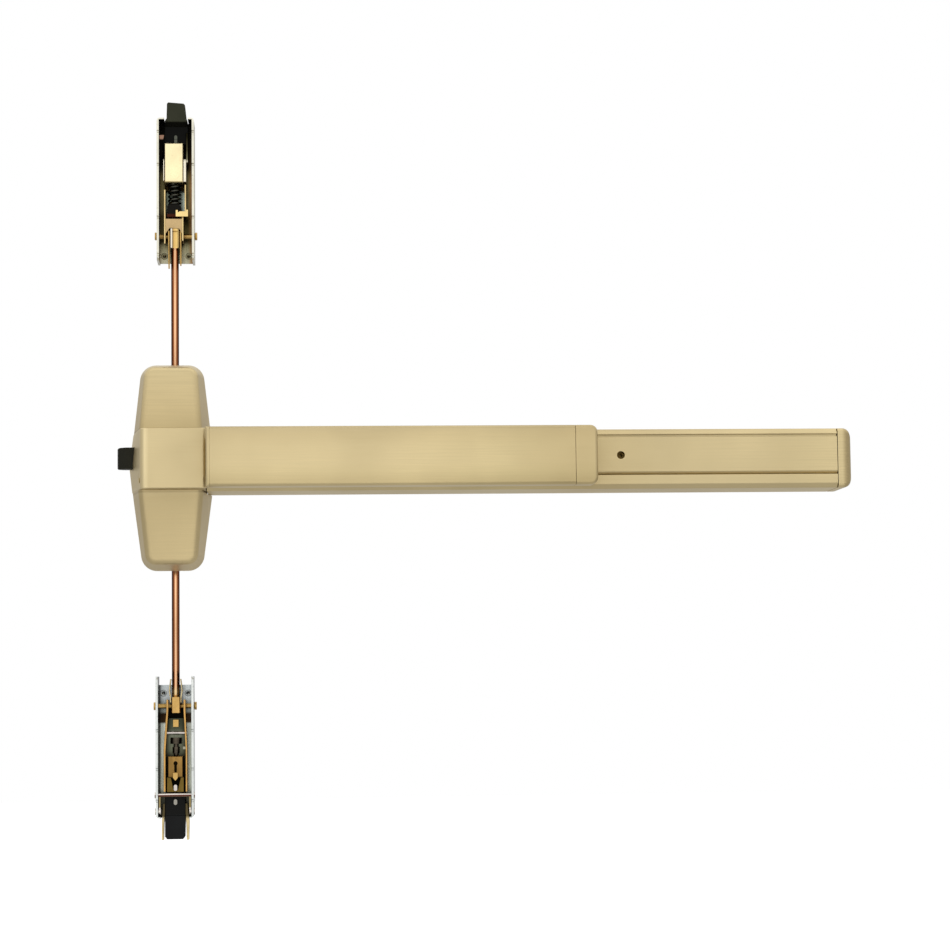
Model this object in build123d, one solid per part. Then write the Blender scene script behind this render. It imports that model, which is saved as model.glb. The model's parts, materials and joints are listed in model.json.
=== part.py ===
from build123d import *
import math
import os

os.makedirs("parts", exist_ok=True)

# Frame: origin on the door face behind the centre case, X towards the hinge side, Y into the door, Z up.

# overall
DOOR_FACE_Y = 0.0
STROKE = 16.0
PAD_TRAVEL = 19.0
RUN_GAP = 0.05
SLIDE_GAP = 0.3
ROD_Y = 22.0
ROD_R = 3.9
MECH_Z = 3.6

# centre case
CASE_TOP = 100.9
CASE_BOTTOM = -104.4
CASE_WALL = 2.5
CASE_DRAFT = 10.0
CASE_CORNER_R = 16.0
WING_LAP = 2.0
WING_EDGE_R = 7.0
CASE_LEFT = -44.2
CASE_RIGHT = 40.6
WING_END_Y = -30.0
WING_MID_Y = -46.0
BAND_FRONT = -66.0
BAND_Z0 = -27.6
BAND_Z1 = 31.8
BAND_FRONT_LEFT = -30.0
BAND_RIGHT = 33.0
BAND_PROUD = 0.5
BAND_EDGE_LEFT_R = 6.0
BAND_EDGE_RIGHT_R = 3.0
PLATE_T = 3.0
PLATE_GAP = 0.7
CASE_HOLE_R = 3.2
CASE_HOLE_DX = 36.0
CASE_HOLE_DZ = 160.0
CASE_HOLE_CZ = -5.0

# mechanism case (channel)
RAIL_X0 = BAND_RIGHT + 0.5
RAIL_X1 = 656.3
RAIL_HALF = 29.5
RAIL_DEPTH = 57.0
RAIL_WALL = 3.0
RAIL_BEVEL = 4.5
LIP_Z0 = -16.0
LIP_Z1 = 23.8
LIP_T = 2.8

# pad
PAD_X0 = 33.6
PAD_CAP_L = 3.5
PAD_SEAM_X = 391.0
PAD_X1 = 412.6
PAD_FRONT = -97.0
PAD_Z0 = -28.2
PAD_Z1 = 29.8
PAD_WALL = 2.5
PAD_RIM_Y = -77.0
PAD_FLANGE_END = -46.0
PAD_FLANGE_GAP = 0.8
PAD_FLANGE_T = 2.0
PAD_EDGE_R = 3.0
PAD_CAP_R = 7.0

# cover plate, dogging, end
COVER_X0 = 414.5
COVER_X1 = 656.3
COVER_GROOVE = 2.4
DOG_X = 440.0
DOG_HOLE_R = 3.8
DOG_SHAFT_R = 4.6
HEX_FLATS = 5.0
END_X0 = 656.8
END_X1 = 671.0
END_CORNER_R = 9.0
END_WALL = 2.0
END_HOLE_R = 2.6
END_HOLE_DZ = 30.0

# cranks: the long arm drives with the pad, the short arm pushes the link bar
CRANK_SWING = 32.0
CRANK_X = (110.0, 345.0)
CRANK_Y = -42.0
CRANK_LONG = PAD_TRAVEL / 2 / math.sin(math.radians(CRANK_SWING / 2))
CRANK_SHORT = STROKE / 2 / math.sin(math.radians(CRANK_SWING / 2))
CRANK_T = 5.0
CRANK_END_R = 5.2
CRANK_HUB_R = 8.0
PIVOT_R = 3.0
DRIVE_PIN_R = 2.5
EAR_T = 2.5
PAD_EAR_GAP = 1.5
FRAME_EAR_IN = 9.6

# link bar
LINK_Y0 = -11.0
LINK_Y1 = -8.0
LINK_HALF = 8.0
LINK_X1 = 460.0
CAM_T = 3.0
SLOT_Z = 53.0
SPRING_X1 = 515.0
SPRING_ROD_R = 3.0

# latch cases
LATCH_HALF = 18.7
LATCH_WALL = 2.2
LATCH_FRONT = 5.0
LATCH_BACK = 38.0
LATCH_END_T = 1.5
LATCH_CORNER_R = 3.5
TOP_X = 1.2
TOP_Z1 = 353.2
TOP_BACK_Z0 = 209.5
TOP_SIDE_Z0 = 208.0
TOP_PIN_Z = 235.0
BOT_X = -0.6
BOT_SIDE_Z1 = -208.5
BOT_BACK_Z1 = -216.7
BOT_Z0 = -348.3
BOT_PIN_Z = -237.8
CROSS_PIN_R = 2.4
LATCH_HOLE_R = 2.4
LATCH_HOLE_DX = 24.6
TOP_HOLE_Z = 217.0
BOT_HOLE_Z = -225.0


def block(x0, x1, y0, y1, z0, z1):
    return Pos((x0 + x1) / 2, (y0 + y1) / 2, (z0 + z1) / 2) * Box(x1 - x0, y1 - y0, z1 - z0)


def outline(points):
    pairs = zip(points, points[1:] + points[:1])
    area = sum(a[0] * b[1] - b[0] * a[1] for a, b in pairs)
    return Polygon(*(points if area > 0 else points[::-1]), align=None)


def prism_x(points_yz, x0, x1):
    return extrude(Plane.YZ.offset(x0) * outline(points_yz), amount=x1 - x0)


def prism_y(points_xz, y0, y1):
    return extrude(Plane.XZ.offset(-y0) * outline(points_xz), amount=y0 - y1)


def prism_z(points_xy, z0, z1):
    return extrude(Plane.XY.offset(z0) * outline(points_xy), amount=z1 - z0)


def rod_x(y, z, r, x0, x1):
    return Pos((x0 + x1) / 2, y, z) * Rot(0, 90, 0) * Cylinder(r, x1 - x0)


def rod_y(x, z, r, y0, y1):
    return Pos(x, (y0 + y1) / 2, z) * Rot(90, 0, 0) * Cylinder(r, y1 - y0)


def rod_z(x, y, r, z0, z1):
    return Pos(x, y, (z0 + z1) / 2) * Cylinder(r, z1 - z0)


def slot_y(xa, za, xb, zb, r, y0, y1):
    run = math.hypot(xb - xa, zb - za)
    turn = math.degrees(math.atan2(zb - za, xb - xa))
    mid = Plane.XZ.offset(-y0) * Pos((xa + xb) / 2, (za + zb) / 2) * Rot(0, 0, turn)
    return extrude(mid * SlotCenterToCenter(run, 2 * r), amount=y0 - y1)


def slot_x(y, za, zb, r, x0, x1):
    mid = Plane.YZ.offset(x0) * Pos(y, (za + zb) / 2) * Rot(0, 0, 90)
    return extrude(mid * SlotCenterToCenter(abs(zb - za), 2 * r), amount=x1 - x0)


def slot_z(xa, ya, xb, yb, r, z0, z1):
    run = math.hypot(xb - xa, yb - ya)
    turn = math.degrees(math.atan2(yb - ya, xb - xa))
    mid = Plane.XY.offset(z0) * Pos((xa + xb) / 2, (ya + yb) / 2) * Rot(0, 0, turn)
    return extrude(mid * SlotCenterToCenter(run, 2 * r), amount=z1 - z0)


def coil(axis_plane, radius, wire, length, turns):
    """A helical spring whose ends lie inside the given length, starting at the plane's origin."""
    run = length - 2 * wire
    path = Edge.make_helix(pitch=run / turns, height=run, radius=radius)
    start = Plane(path @ 0, x_dir=(0, 0, 1), z_dir=path % 0)
    wound = sweep(start * RegularPolygon(wire, 6), path=path, is_frenet=True)
    return axis_plane * (Pos(0, 0, wire) * wound)


def save(shape, name):
    export_step(shape, "parts/" + name + ".step")


def group(*shapes):
    return Compound(children=[s for shape in shapes for s in shape.solids()])


# centre case


TOP_WING = [
    (-32.2, CASE_TOP), (28.2, CASE_TOP), (36.6, 28.0), (CASE_RIGHT, 0.0), (CASE_LEFT, 0.0), (-40.4, 28.0),
]
BOTTOM_WING = [
    (-31.0, CASE_BOTTOM), (27.6, CASE_BOTTOM), (36.8, -34.0), (CASE_RIGHT, 0.0), (CASE_LEFT, 0.0), (-40.3, -35.0),
]


def wing_outline(points, end_z):
    face = outline(points)
    return fillet([v for v in face.vertices() if abs(v.Y - end_z) < 1], CASE_CORNER_R)


def wing_form(points, end_z, inset):
    """One tapering wing of the cover: drafted sides, and a front that slopes down to the wing's end."""
    side = 1 if end_z > 0 else -1
    start = abs(BAND_Z1 if end_z > 0 else BAND_Z0) - WING_LAP - inset
    face = wing_outline(points, end_z)
    if inset:
        face = offset(face, amount=-inset, kind=Kind.INTERSECTION)
    solid = extrude(Plane.XZ * face, amount=62, taper=CASE_DRAFT)
    slope = (WING_END_Y - WING_MID_Y) / (abs(end_z) - BAND_Z1)
    reach = abs(end_z) + 5
    far = WING_END_Y + slope * 5 + inset
    near = far - slope * (reach - start)
    roof = [(1.0, side * reach), (far, side * reach), (near, side * start), (1.0, side * start)]
    return solid & prism_x(roof, -60, 60)


def soft_wing(points, end_z):
    solid = wing_form(points, end_z, 0)
    front = [f for f in solid.faces() if f.normal_at().Y < -0.9]
    rim = [e for e in front[0].edges() if abs(e.center().Z) > BAND_Z1 + 2]
    return fillet(rim, WING_EDGE_R)


def band_profile(y, front_left, inset):
    """The band's outline at one depth: bulged at the door like the wings, straight at the front."""
    share = y / BAND_FRONT
    z0 = BAND_Z0 + inset
    z1 = BAND_Z1 - inset
    low_x = CASE_LEFT + (BOTTOM_WING[5][0] - CASE_LEFT) * z0 / BOTTOM_WING[5][1]
    high_x = CASE_LEFT + (TOP_WING[5][0] - CASE_LEFT) * z1 / TOP_WING[5][1]
    left = [(low_x, z0), (CASE_LEFT, 0.0), (high_x, z1)]
    left = [(x - BAND_PROUD + (front_left - x + BAND_PROUD) * share + inset, z) for x, z in left]
    return Plane.XZ.offset(-y) * outline([*left, (BAND_RIGHT - inset, z1), (BAND_RIGHT - inset, z0)])


def band_form(inset):
    return loft([band_profile(y, BAND_FRONT_LEFT, inset) for y in (0.0, BAND_FRONT + inset)], ruled=True)


ENDS = ((TOP_WING, CASE_TOP), (BOTTOM_WING, CASE_BOTTOM))
band = band_form(0)
upright = band.edges().filter_by(lambda e: abs(e.center().Y - BAND_FRONT) < 0.1 and abs(e.center().Z) < 25)
band = fillet([e for e in upright if e.center().X < 0], BAND_EDGE_LEFT_R)
upright = band.edges().filter_by(lambda e: abs(e.center().Y - BAND_FRONT) < 0.1 and e.center().X > BAND_RIGHT - 0.1)
band = fillet(upright, BAND_EDGE_RIGHT_R)
long_rim = [e for e in band.edges() if e.center().Y < BAND_FRONT + 3.5 and abs(e.center().Z - (BAND_Z0 + BAND_Z1) / 2) > 20]
band = fillet(long_rim, 1.4)
cover = band
for points, end_z in ENDS:
    cover += soft_wing(points, end_z)
for points, end_z in ENDS:
    cover -= wing_form(points, end_z, CASE_WALL)
cover -= band_form(CASE_WALL)
cover -= block(BAND_RIGHT, 50, -62, 1, -RAIL_HALF - 0.5, RAIL_HALF + 0.5)
cover -= block(28, 50, -61, 1, -24.0, 28.0)
LATCH_GAP = 0.4
RIM_Z0 = MECH_Z - 10.0 + 2.0
RIM_Z1 = RIM_Z0 + 21.3
RIM_Y0 = -20.4
RIM_Y1 = -6.4
cover -= block(-50, -26, RIM_Y0 - LATCH_GAP, RIM_Y1 + LATCH_GAP, RIM_Z0 - LATCH_GAP, RIM_Z1 + LATCH_GAP)
SIDE_SCREW_Y = -58.0
SIDE_SCREW_Z = -19.0
SIDE_SCREW_R = 1.8
SIDE_SEAT_X = -30.2
cover -= rod_x(SIDE_SCREW_Y, SIDE_SCREW_Z, SIDE_SCREW_R + 0.1, -45, -24)
cover -= rod_x(SIDE_SCREW_Y, SIDE_SCREW_Z, 3.0, -45, SIDE_SEAT_X)
save(cover, "center_case_cover")

side_screw = rod_x(SIDE_SCREW_Y, SIDE_SCREW_Z, SIDE_SCREW_R, SIDE_SEAT_X, -22.0)
side_screw += rod_x(SIDE_SCREW_Y, SIDE_SCREW_Z, 2.8, SIDE_SEAT_X - 1.5, SIDE_SEAT_X)
side_screw -= block(SIDE_SEAT_X - 1.6, SIDE_SEAT_X - 0.8, SIDE_SCREW_Y - 0.5, SIDE_SCREW_Y + 0.5, SIDE_SCREW_Z - 3, SIDE_SCREW_Z + 3)

# base plate with screw holes, drive slots, slide guides and the screw tab
PLATE_RIGHT = BAND_RIGHT - CASE_WALL - PLATE_GAP
base = block(-30, PLATE_RIGHT, -PLATE_T, 0, -20, 20)
for points, end_z in ENDS:
    face = offset(wing_outline(points, end_z), amount=-(CASE_WALL + PLATE_GAP), kind=Kind.INTERSECTION)
    base += extrude(Plane.XZ * face, amount=PLATE_T)
base &= block(-37.5, PLATE_RIGHT, -PLATE_T, 0, -200, 200)
base += block(20, 62, -PLATE_T - 2.0, -PLATE_T, -20, 20)
SLIDE_HALF = 7.0
NECK_HALF = 5.0
NECK_Z0 = SLOT_Z - 8.0
NECK_Z1 = SLOT_Z + 4.0
for side in (1, -1):
    z_in, z_out = sorted((side * (NECK_Z0 - STROKE - 0.8), side * (NECK_Z1 + 0.8)))
    base -= block(-NECK_HALF - 0.6, NECK_HALF + 0.6, -PLATE_T - 1, 1, z_in, z_out)
    g_in, g_out = sorted((side * 21.0, side * 63.0))
    base += block(SLIDE_HALF + SLIDE_GAP, SLIDE_HALF + SLIDE_GAP + 2, -10.6, -PLATE_T, g_in, g_out)
    base += block(-SLIDE_HALF - SLIDE_GAP - 2, -SLIDE_HALF - SLIDE_GAP, -10.6, -PLATE_T, g_in, g_out)
for dx in (-CASE_HOLE_DX / 2, CASE_HOLE_DX / 2):
    for dz in (-CASE_HOLE_DZ / 2, CASE_HOLE_DZ / 2):
        base -= rod_y(dx, CASE_HOLE_CZ + dz, CASE_HOLE_R, -PLATE_T - 1, 1)
base += block(-25.8, -23.3, SIDE_SCREW_Y - 4.0, -PLATE_T, SIDE_SCREW_Z - 4.5, SIDE_SCREW_Z + 4.5)
base -= rod_x(SIDE_SCREW_Y, SIDE_SCREW_Z, SIDE_SCREW_R, -27, -23)
save(base, "base_plate")

# side latch and its frame
latch_frame = block(-28, 3, RIM_Y0 - 3.0, -PLATE_T, RIM_Z1 + 0.4, RIM_Z1 + 2.9)
latch_frame += block(-28, 3, RIM_Y0 - 3.0, -PLATE_T, RIM_Z0 - 2.9, RIM_Z0 - 0.4)
latch_frame += block(-28, 3, RIM_Y0 - 3.0, RIM_Y0 - 0.5, RIM_Z0 - 2.9, RIM_Z1 + 2.9)
latch_frame += block(-28, 3, RIM_Y1 + 0.4, RIM_Y1 + 2.9, RIM_Z0 - 2.9, RIM_Z1 + 2.9)
save(latch_frame, "side_latch_frame")

TIE_X = 12.5
CAM_Y0 = LINK_Y0 - CAM_T
nose = [
    (2.0, RIM_Y1), (-51.5, RIM_Y1), (-55.8, RIM_Y1 - 3.5), (-54.5, RIM_Y1 - 8.0), (-47.0, RIM_Y0), (2.0, RIM_Y0),
]
side_latch = prism_z(nose, RIM_Z0, RIM_Z1)
side_latch = fillet([e for e in side_latch.edges() if e.center().X < -53], 1.6)
side_latch += block(2.0, 16.5, RIM_Y0, CAM_Y0 - 0.5, MECH_Z - 5, MECH_Z + 7)
side_latch -= rod_y(TIE_X, MECH_Z, 2.0, RIM_Y0 + 1.5, 0)
save(side_latch, "side_latch")
save(rod_y(TIE_X, MECH_Z, 2.0, RIM_Y0 + 1.5, LINK_Y0 + 0.4), "side_latch_pin")

# cam plate: sloped slots turn the link bar's travel into rod travel
cam = block(4, 11, CAM_Y0, LINK_Y0, -61, 61)
cam += block(-24, 4, CAM_Y0, LINK_Y0, 30, 61)
cam += block(-24, 4, CAM_Y0, LINK_Y0, -61, -30)
cam += block(11, 33, CAM_Y0, LINK_Y0, MECH_Z - LINK_HALF, MECH_Z + LINK_HALF)
cam = fillet([e for e in cam.edges().filter_by(Axis.Y) if e.center().X < -20], 4)
for side in (1, -1):
    cam -= slot_y(0, side * SLOT_Z, -STROKE, side * (SLOT_Z - STROKE), DRIVE_PIN_R + SLIDE_GAP, CAM_Y0 - 1, LINK_Y0 + 1)
cam -= rod_y(TIE_X, MECH_Z, 2.0 + SLIDE_GAP, CAM_Y0 - 1, LINK_Y0 + 1)
RIVETS_X = (21.0, 28.5)
for rx in RIVETS_X:
    cam -= rod_y(rx, MECH_Z, 2.0, CAM_Y0 - 1, LINK_Y0 + 1)
save(cam, "cam_plate")

for side, word in ((1, "top"), (-1, "bottom")):
    z_a, z_b = sorted((side * (SLOT_Z - 13.0), side * (SLOT_Z + 7.0)))
    n_a, n_b = sorted((side * NECK_Z0, side * NECK_Z1))
    slide = block(-SLIDE_HALF, SLIDE_HALF, LINK_Y0 + 0.4, LINK_Y0 + 4.4, z_a, z_b)
    slide += block(-NECK_HALF, NECK_HALF, LINK_Y0 + 4.4, 13.0, n_a, n_b)
    slide += block(-7.5, 7.5, 13.0, 31.0, n_a - 1, n_b + 1)
    slide -= rod_y(0, side * SLOT_Z, DRIVE_PIN_R, LINK_Y0, LINK_Y0 + 4.4)
    r_a, r_b = sorted((side * (NECK_Z0 + 2.0), side * (NECK_Z1 + 5.0)))
    slide -= rod_z(0, ROD_Y, ROD_R, r_a, r_b)
    save(slide, word + "_rod_slide")
    save(rod_y(0, side * SLOT_Z, DRIVE_PIN_R, CAM_Y0 - 2.0, LINK_Y0 + 4.4), word + "_slide_pin")

# bar

rail_outer = [
    (0, -RAIL_HALF), (0, RAIL_HALF), (-RAIL_DEPTH + RAIL_BEVEL, RAIL_HALF), (-RAIL_DEPTH, RAIL_HALF - RAIL_BEVEL),
    (-RAIL_DEPTH, -RAIL_HALF + RAIL_BEVEL), (-RAIL_DEPTH + RAIL_BEVEL, -RAIL_HALF),
]
inner_half = RAIL_HALF - RAIL_WALL
lip_back = -RAIL_DEPTH + LIP_T
rail_inner = [
    (-RAIL_WALL, -inner_half), (-RAIL_WALL, inner_half), (lip_back, inner_half), (lip_back, -inner_half + 1.6),
    (lip_back + 1.6, -inner_half),
]
rail = prism_x(rail_outer, RAIL_X0, RAIL_X1)
rail -= prism_x(rail_inner, RAIL_X0 - 1, RAIL_X1 + 1)
rail -= block(RAIL_X0 - 1, RAIL_X1 + 1, -RAIL_DEPTH - 1, lip_back + 0.1, LIP_Z0, LIP_Z1)
save(rail, "mechanism_case")

tongue_y = lip_back + 0.2
face_y = -RAIL_DEPTH + 0.1
plate_section = [
    (face_y, LIP_Z1 - COVER_GROOVE), (face_y, LIP_Z0 + 3.4), (face_y + 2.3, LIP_Z0 + 0.5),
    (tongue_y, LIP_Z0 + 0.5), (tongue_y, LIP_Z0 - 3.5), (tongue_y + 1.6, LIP_Z0 - 3.5),
    (tongue_y + 1.6, inner_half - 0.3), (tongue_y, inner_half - 0.3), (tongue_y, LIP_Z1 - COVER_GROOVE),
]
cover_plate = prism_x(plate_section, COVER_X0, COVER_X1)
cover_plate -= rod_y(DOG_X, MECH_Z, DOG_HOLE_R, -RAIL_DEPTH - 1, -RAIL_DEPTH + 8)
save(cover_plate, "case_cover_plate")

# end bracket, end cap and screw
tab_x0 = END_X0 + 1.2
foot_half = RAIL_HALF - 8.5
flange_half = RAIL_HALF - END_WALL - 2.5
bracket = block(END_X0 - 26.8, END_X1 - END_WALL - 0.6, -6, -RAIL_WALL, -foot_half, foot_half)
bracket += block(END_X0 + 0.2, END_X1 - END_WALL - 0.6, -6, 0, -flange_half, flange_half)
bracket += block(tab_x0, tab_x0 + 2.5, -40, -6, -8, 8)
END_HOLE_X = 665.0
for dz in (-END_HOLE_DZ / 2, END_HOLE_DZ / 2):
    bracket -= rod_y(END_HOLE_X, dz, END_HOLE_R, -7, 1)
END_SCREW_Y = -30.0
bracket -= rod_x(END_SCREW_Y, 0, 1.8, tab_x0 - 1, tab_x0 + 3.5)
save(bracket, "end_bracket")

end_cap = block(END_X0, END_X1, -RAIL_DEPTH, 0, -RAIL_HALF, RAIL_HALF)
outer_edges = [e for e in end_cap.edges() if e.center().X > END_X1 - 0.1 and e.center().Y < -1]
end_cap = fillet(outer_edges, END_CORNER_R)
front_edges = [e for e in end_cap.edges().filter_by(Axis.X) if e.center().Y < -RAIL_DEPTH + 1]
end_cap = fillet(front_edges, 4.0)
end_cap -= block(END_X0 - 1, END_X1 - END_WALL, -RAIL_DEPTH + END_WALL, 1, -RAIL_HALF + END_WALL, RAIL_HALF - END_WALL)
end_cap -= rod_x(END_SCREW_Y, 0, 1.9, END_X0, END_X1 + 1)
end_cap -= rod_x(END_SCREW_Y, 0, 3.4, END_X1 - 1.0, END_X1 + 1)
save(end_cap, "end_cap")
end_screw = rod_x(END_SCREW_Y, 0, 1.8, tab_x0 - 0.6, END_X1 - 1.0)
end_screw += rod_x(END_SCREW_Y, 0, 3.2, END_X1 - 1.0, END_X1 + 0.4)
end_screw -= extrude(Plane.YZ.offset(END_X1 - 0.8) * Pos(END_SCREW_Y, 0) * RegularPolygon(1.2, 6), amount=2)
save(group(side_screw, end_screw), "cover_screws")

# push pad
flange_z1 = LIP_Z1 - PAD_FLANGE_GAP - 1.4
flange_z0 = LIP_Z0 + PAD_FLANGE_GAP


def pad_section(x0, x1):
    skin = block(x0, x1, PAD_FRONT, PAD_RIM_Y, PAD_Z0, PAD_Z1)
    skin = fillet([e for e in skin.edges().filter_by(Axis.X) if e.center().Y < PAD_FRONT + 1], PAD_EDGE_R)
    skin -= block(x0 - 1, x1 + 1, PAD_FRONT + PAD_WALL, PAD_RIM_Y - 2, PAD_Z0 + PAD_WALL, PAD_Z1 - PAD_WALL)
    skin -= block(x0 - 1, x1 + 1, PAD_RIM_Y - 3, PAD_RIM_Y + 1, flange_z0 + PAD_FLANGE_T, flange_z1 - PAD_FLANGE_T)
    skin += block(x0, x1, PAD_RIM_Y, PAD_FLANGE_END, flange_z1 - PAD_FLANGE_T, flange_z1)
    skin += block(x0, x1, PAD_RIM_Y, PAD_FLANGE_END, flange_z0, flange_z0 + PAD_FLANGE_T)
    return skin


pad_left = PAD_X0 + PAD_CAP_L
pad = pad_section(pad_left, PAD_SEAM_X)
save(pad, "push_pad")

left_cap = block(PAD_X0, pad_left, PAD_FRONT, PAD_RIM_Y, PAD_Z0, PAD_Z1)
left_cap = fillet([e for e in left_cap.edges() if e.center().Y < PAD_FRONT + 1 and e.center().X < pad_left - 0.1], 2.6)
left_cap += block(PAD_X0 + 1.5, pad_left, PAD_RIM_Y, PAD_FLANGE_END, flange_z0, flange_z1)
left_cap += block(pad_left, pad_left + 8, PAD_FRONT + PAD_WALL + 0.2, PAD_FRONT + PAD_WALL + 4, PAD_Z0 + 6, PAD_Z1 - 6)
save(left_cap, "pad_end_cap_inner")

cap_x0 = PAD_SEAM_X + 0.2
right_cap = block(cap_x0, PAD_X1, PAD_FRONT, PAD_RIM_Y, PAD_Z0, PAD_Z1)
right_cap = fillet([e for e in right_cap.edges().filter_by(Axis.Y) if e.center().X > PAD_X1 - 1], PAD_CAP_R)
right_cap = fillet([e for e in right_cap.edges() if e.center().Y < PAD_FRONT + 0.1 and e.center().X > cap_x0 + 0.1], PAD_EDGE_R)
right_cap -= block(cap_x0 - 1, PAD_X1 - 3, PAD_FRONT + PAD_WALL, PAD_RIM_Y + 1, PAD_Z0 + PAD_WALL, PAD_Z1 - PAD_WALL)
right_cap += block(PAD_X1 - 5.5, PAD_X1 - 2.5, PAD_FRONT + PAD_WALL, PAD_FLANGE_END, flange_z0, flange_z1)
right_cap += block(cap_x0 - 8, PAD_X1 - 5.5, PAD_FRONT + PAD_WALL + 0.2, PAD_FRONT + PAD_WALL + 4, PAD_Z0 + 6, PAD_Z1 - 6)
save(right_cap, "pad_end_cap_outer")

# bell cranks
half = math.radians(CRANK_SWING / 2)
tip_dx = -CRANK_LONG * math.cos(half)
tip_y = CRANK_Y - CRANK_LONG * math.sin(half)
push_dx = -CRANK_SHORT * math.sin(half)
push_y = CRANK_Y + CRANK_SHORT * math.cos(half)
ear_in = CRANK_T / 2 + PAD_EAR_GAP
pad_brackets = []
frame_brackets = []
pivots = []
link = block(16, LINK_X1, LINK_Y0, LINK_Y1, MECH_Z - LINK_HALF, MECH_Z + LINK_HALF)
for rx in RIVETS_X:
    link -= rod_y(rx, MECH_Z, 2.0, LINK_Y0 - 1, LINK_Y1 + 1)
link -= block(0, 18.5, LINK_Y0 - 1, LINK_Y1 + 1, MECH_Z - 12, MECH_Z + 12)
for px, word in zip(CRANK_X, ("left", "right")):
    tx = px + tip_dx
    qx = px + push_dx
    arm = slot_z(px, CRANK_Y, tx, tip_y, CRANK_END_R, MECH_Z - CRANK_T / 2, MECH_Z + CRANK_T / 2)
    arm += slot_z(px, CRANK_Y, qx, push_y, CRANK_END_R, MECH_Z - CRANK_T / 2, MECH_Z + CRANK_T / 2)
    arm += rod_z(px, CRANK_Y, CRANK_HUB_R, MECH_Z - CRANK_T / 2 - 4, MECH_Z + CRANK_T / 2 + 4)
    arm -= rod_z(px, CRANK_Y, PIVOT_R + RUN_GAP, MECH_Z - 20, MECH_Z + 20)
    arm -= rod_z(tx, tip_y, DRIVE_PIN_R, MECH_Z - 20, MECH_Z + 20)
    arm -= rod_z(qx, push_y, DRIVE_PIN_R, MECH_Z - 20, MECH_Z + 20)
    save(arm, "bell_crank_" + word)
    pins = group(
        rod_z(tx, tip_y, DRIVE_PIN_R, MECH_Z - ear_in - EAR_T - 0.8, MECH_Z + ear_in + EAR_T + 0.8),
        rod_z(qx, push_y, DRIVE_PIN_R, MECH_Z - ear_in - EAR_T - 0.8, MECH_Z + ear_in + EAR_T + 0.8),
    )
    save(pins, "crank_pins_" + word)
    # pad bracket: two ears with a slot along X that takes the long arm's pin
    under = PAD_FRONT + PAD_WALL
    foot = block(tx - 15, tx + 15, under, under + 2.5, MECH_Z - 13, MECH_Z + 13)
    for s in (1, -1):
        e0, e1 = sorted((MECH_Z + s * ear_in, MECH_Z + s * (ear_in + EAR_T)))
        foot += block(tx - 8, tx + 8, under + 2.5, tip_y + 6.0, e0, e1)
    reach = CRANK_LONG - CRANK_LONG * math.cos(half)
    foot -= slot_z(tx - reach - 0.3, tip_y, tx + 0.3, tip_y, DRIVE_PIN_R + 0.2, MECH_Z - 12, MECH_Z + 12)
    pad_brackets.append(foot)
    # fixed bracket on the channel's floor
    fixed = block(px - 16, px + 16, -6.0, -RAIL_WALL, MECH_Z - 14, MECH_Z + 14)
    for s in (1, -1):
        e0, e1 = sorted((MECH_Z + s * FRAME_EAR_IN, MECH_Z + s * (FRAME_EAR_IN + EAR_T)))
        fixed += block(px - 9, px + 9, CRANK_Y - 8, -6.0, e0, e1)
    pivot = rod_z(px, CRANK_Y, PIVOT_R, MECH_Z - FRAME_EAR_IN - EAR_T - 1, MECH_Z + FRAME_EAR_IN + EAR_T + 1)
    frame_brackets.append(fixed - pivot)
    pivots.append(pivot)
    # link bar ears with a slot along Y that takes the short arm's pin
    for s in (1, -1):
        e0, e1 = sorted((MECH_Z + s * ear_in, MECH_Z + s * (ear_in + EAR_T)))
        link += block(qx - 7, qx + 7, push_y - 6.0, LINK_Y0, e0, e1)
    drop = CRANK_SHORT - CRANK_SHORT * math.cos(half)
    link -= slot_z(qx, push_y - 0.3, qx, push_y + drop + 0.3, DRIVE_PIN_R + 0.2, MECH_Z - 7.4, MECH_Z + 7.4)
    link -= block(qx - 11, qx + 11, push_y - 8, LINK_Y1 + 1, MECH_Z - ear_in + 0.5, MECH_Z + ear_in - 0.5)
save(group(*pad_brackets), "pad_brackets")
save(group(*frame_brackets), "crank_brackets")
save(group(*pivots), "crank_pivots")
save(link, "link_bar")
rivets = []
for rx in RIVETS_X:
    rivets.append(rod_y(rx, MECH_Z, 2.0, CAM_Y0, LINK_Y1) + rod_y(rx, MECH_Z, 3.4, CAM_Y0 - 1.2, CAM_Y0))
save(group(*rivets), "link_rivets")

# return spring on a rod at the link bar's far end
link_mid = (LINK_Y0 + LINK_Y1) / 2
spring_rod = rod_x(link_mid, MECH_Z, SPRING_ROD_R, LINK_X1, SPRING_X1 + 30)
save(spring_rod, "link_rod")
stop_y1 = -RAIL_WALL
stop = block(SPRING_X1, SPRING_X1 + 3, -22, stop_y1, MECH_Z - 12, MECH_Z + 12)
stop += block(SPRING_X1 + 3, SPRING_X1 + 18, stop_y1 - 2.5, stop_y1, MECH_Z - 12, MECH_Z + 12)
stop -= rod_x(link_mid, MECH_Z, SPRING_ROD_R + SLIDE_GAP, SPRING_X1 - 1, SPRING_X1 + 19)
save(stop, "link_spring_stop")
along_x = Plane(origin=(LINK_X1, link_mid, MECH_Z), x_dir=(0, 1, 0), z_dir=(1, 0, 0))
save(coil(along_x, 4.8, 0.9, SPRING_X1 - LINK_X1, 7), "link_spring")

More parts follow.
